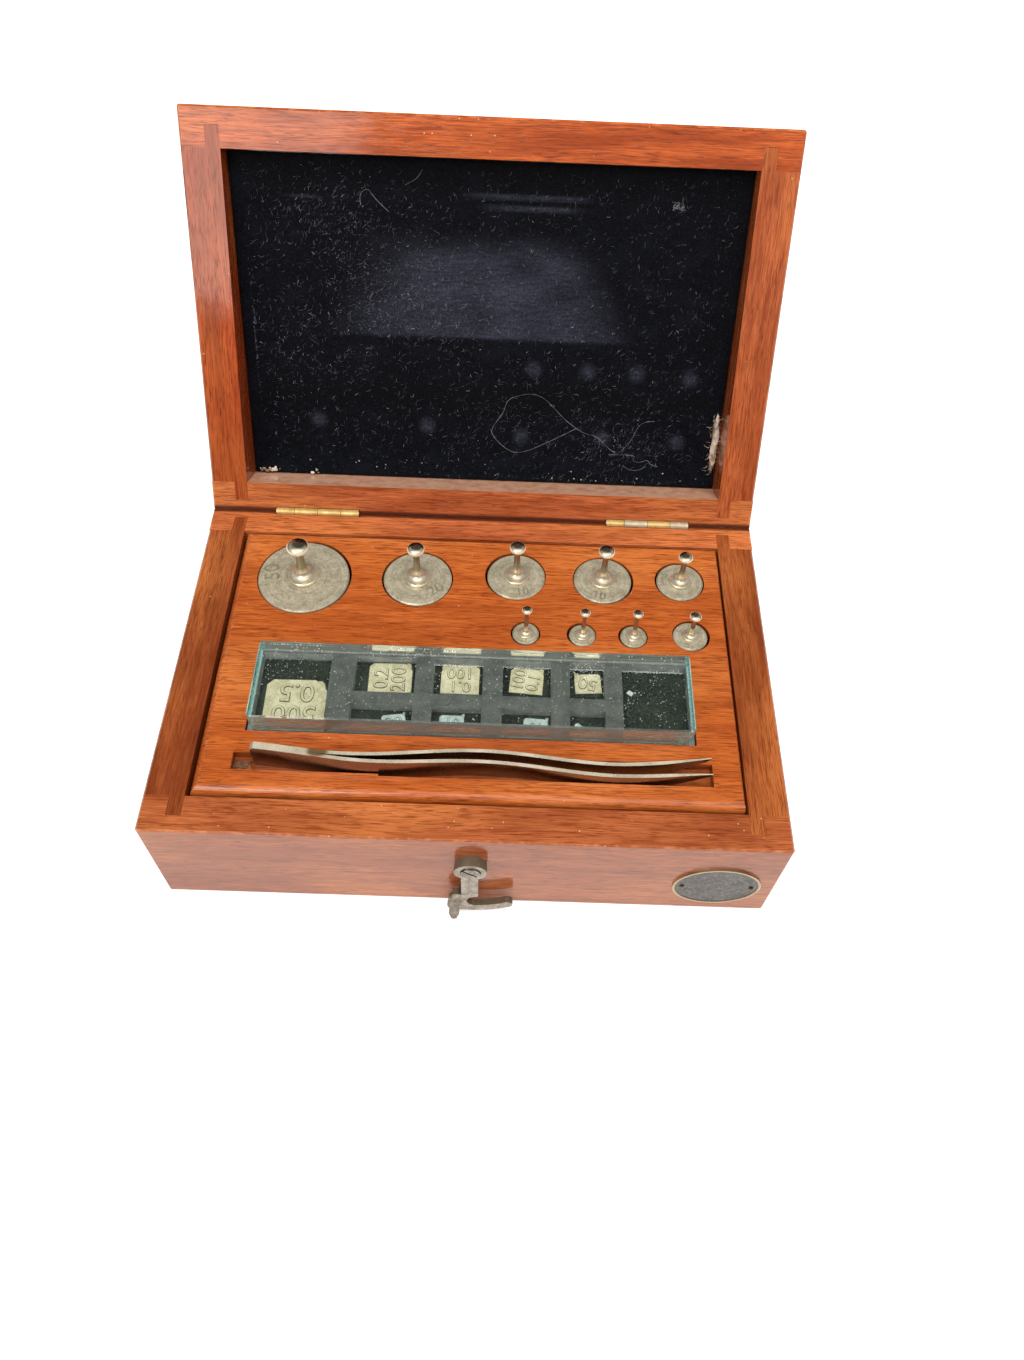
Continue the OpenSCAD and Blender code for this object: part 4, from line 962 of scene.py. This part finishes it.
def camera(place, azimuth, elevation, roll, focal):
    """The photograph's own view: a phone held over the case, a little left of square. Its place is in
    millimetres, its angles are in degrees."""
    azimuth, elevation, roll = (math.radians(angle) for angle in (azimuth, elevation, roll))
    flat = math.cos(elevation)
    back = Vector((math.sin(azimuth) * flat, -math.cos(azimuth) * flat, math.sin(elevation)))
    level = Vector((math.cos(azimuth), math.sin(azimuth), 0))
    rise = back.cross(level)
    right = math.cos(roll) * level + math.sin(roll) * rise
    up = math.cos(roll) * rise - math.sin(roll) * level
    lens = bpy.data.cameras.new("camera")
    lens.lens = focal
    lens.clip_start = 0.01
    obj = placed("camera", lens)
    turn = Matrix((right, up, back)).transposed().to_4x4()
    obj.matrix_world = Matrix.Translation(Vector(place) * MM) @ turn
    bpy.context.scene.camera = obj


def floor():
    """A white table top, which camera and gloss see as white paper."""
    deselect()
    bpy.ops.mesh.primitive_grid_add(x_subdivisions=4, y_subdivisions=4, size=6.0, location=(0, 0, -0.0002))
    obj = bpy.context.object
    obj.name = "floor"
    made, tree, shader = material("white paper table top", Roughness=0.9, Specular_IOR_Level=0.1)
    link(tree, shader, {"Base Color": colour("#ececea")})
    path = add(tree, "LightPath").outputs
    seen = add(tree, "Math", TIMES, {0: path["Is Camera Ray"], 1: 0.45})
    seen = add(tree, "Math", TIMES_PLUS, {0: path["Is Glossy Ray"], 1: 0.04, 2: seen})
    glow = add(tree, "Emission", {}, {"Color": (1, 1, 1, 1), "Strength": seen})
    lit = add(tree, "AddShader", {}, {0: shader, 1: glow})
    link(tree, tree.nodes["Material Output"], {"Surface": lit})
    coat(obj, made)


def lamp(name, place, size, power, tint):
    """A soft square lamp that looks at the case."""
    data = bpy.data.lights.new(name, "AREA")
    data.size = size
    data.energy = power
    data.color = colour(tint)[:3]
    obj = placed(name, data)
    obj.location = place
    obj.rotation_euler = (Vector((0, 0, 0.03)) - Vector(place)).to_track_quat("-Z", "Y").to_euler()
    return obj


def sky():
    """A room with a dark ceiling and dim walls, a row of panes high up ahead, and white to the camera."""
    world = bpy.data.worlds.new("room")
    bpy.context.scene.world = world
    world.use_nodes = True
    tree = world.node_tree
    way = add(tree, "TexCoord").outputs["Generated"]
    split = add(tree, "SeparateXYZ", {}, {0: way}).outputs
    wall = add(tree, "MapRange", SMOOTH, {VALUE: split["Z"], LOW: 0.2, HIGH: 0.42, START: 0.1, END: 0.36})
    ahead = add(tree, "MapRange", SMOOTH, {VALUE: split["Y"], LOW: 0.0, HIGH: -0.3})
    panes = add(tree, "MapRange", SMOOTH, {VALUE: split["Z"], LOW: 0.5, HIGH: 0.62, START: 0.0, END: ahead})
    wall = add(tree, "Math", PLUS, {0: wall, 1: panes})
    ceiling = add(tree, "VectorMath", {"operation": "DOT_PRODUCT"}, {0: way, 1: (0.0, 0.6, 0.8)})
    shade = add(tree, "MapRange", SMOOTH, {VALUE: ceiling, LOW: 0.76, HIGH: 0.84, START: 1.0, END: 0.16})
    strength = add(tree, "Math", TIMES, {0: wall, 1: shade})
    seen = add(tree, "Math", LARGER, {0: strength, 1: add(tree, "LightPath").outputs["Is Camera Ray"]})
    link(tree, tree.nodes["Background"], {"Color": (1, 1, 1, 1), "Strength": seen})


camera((5.91, -142.184, 231.717), azimuth=-1.21, elevation=55.6, roll=3.03, focal=27.43)
floor()
sky()
lamp("window", (-0.38, -0.68, 0.64), 0.5, 2.7, "#fff8ee")
lamp("overhead", (0.1, -0.1, 0.92), 0.6, 8.6, "#fffdfa").visible_glossy = False
bpy.context.scene.view_settings.view_transform = "Standard"
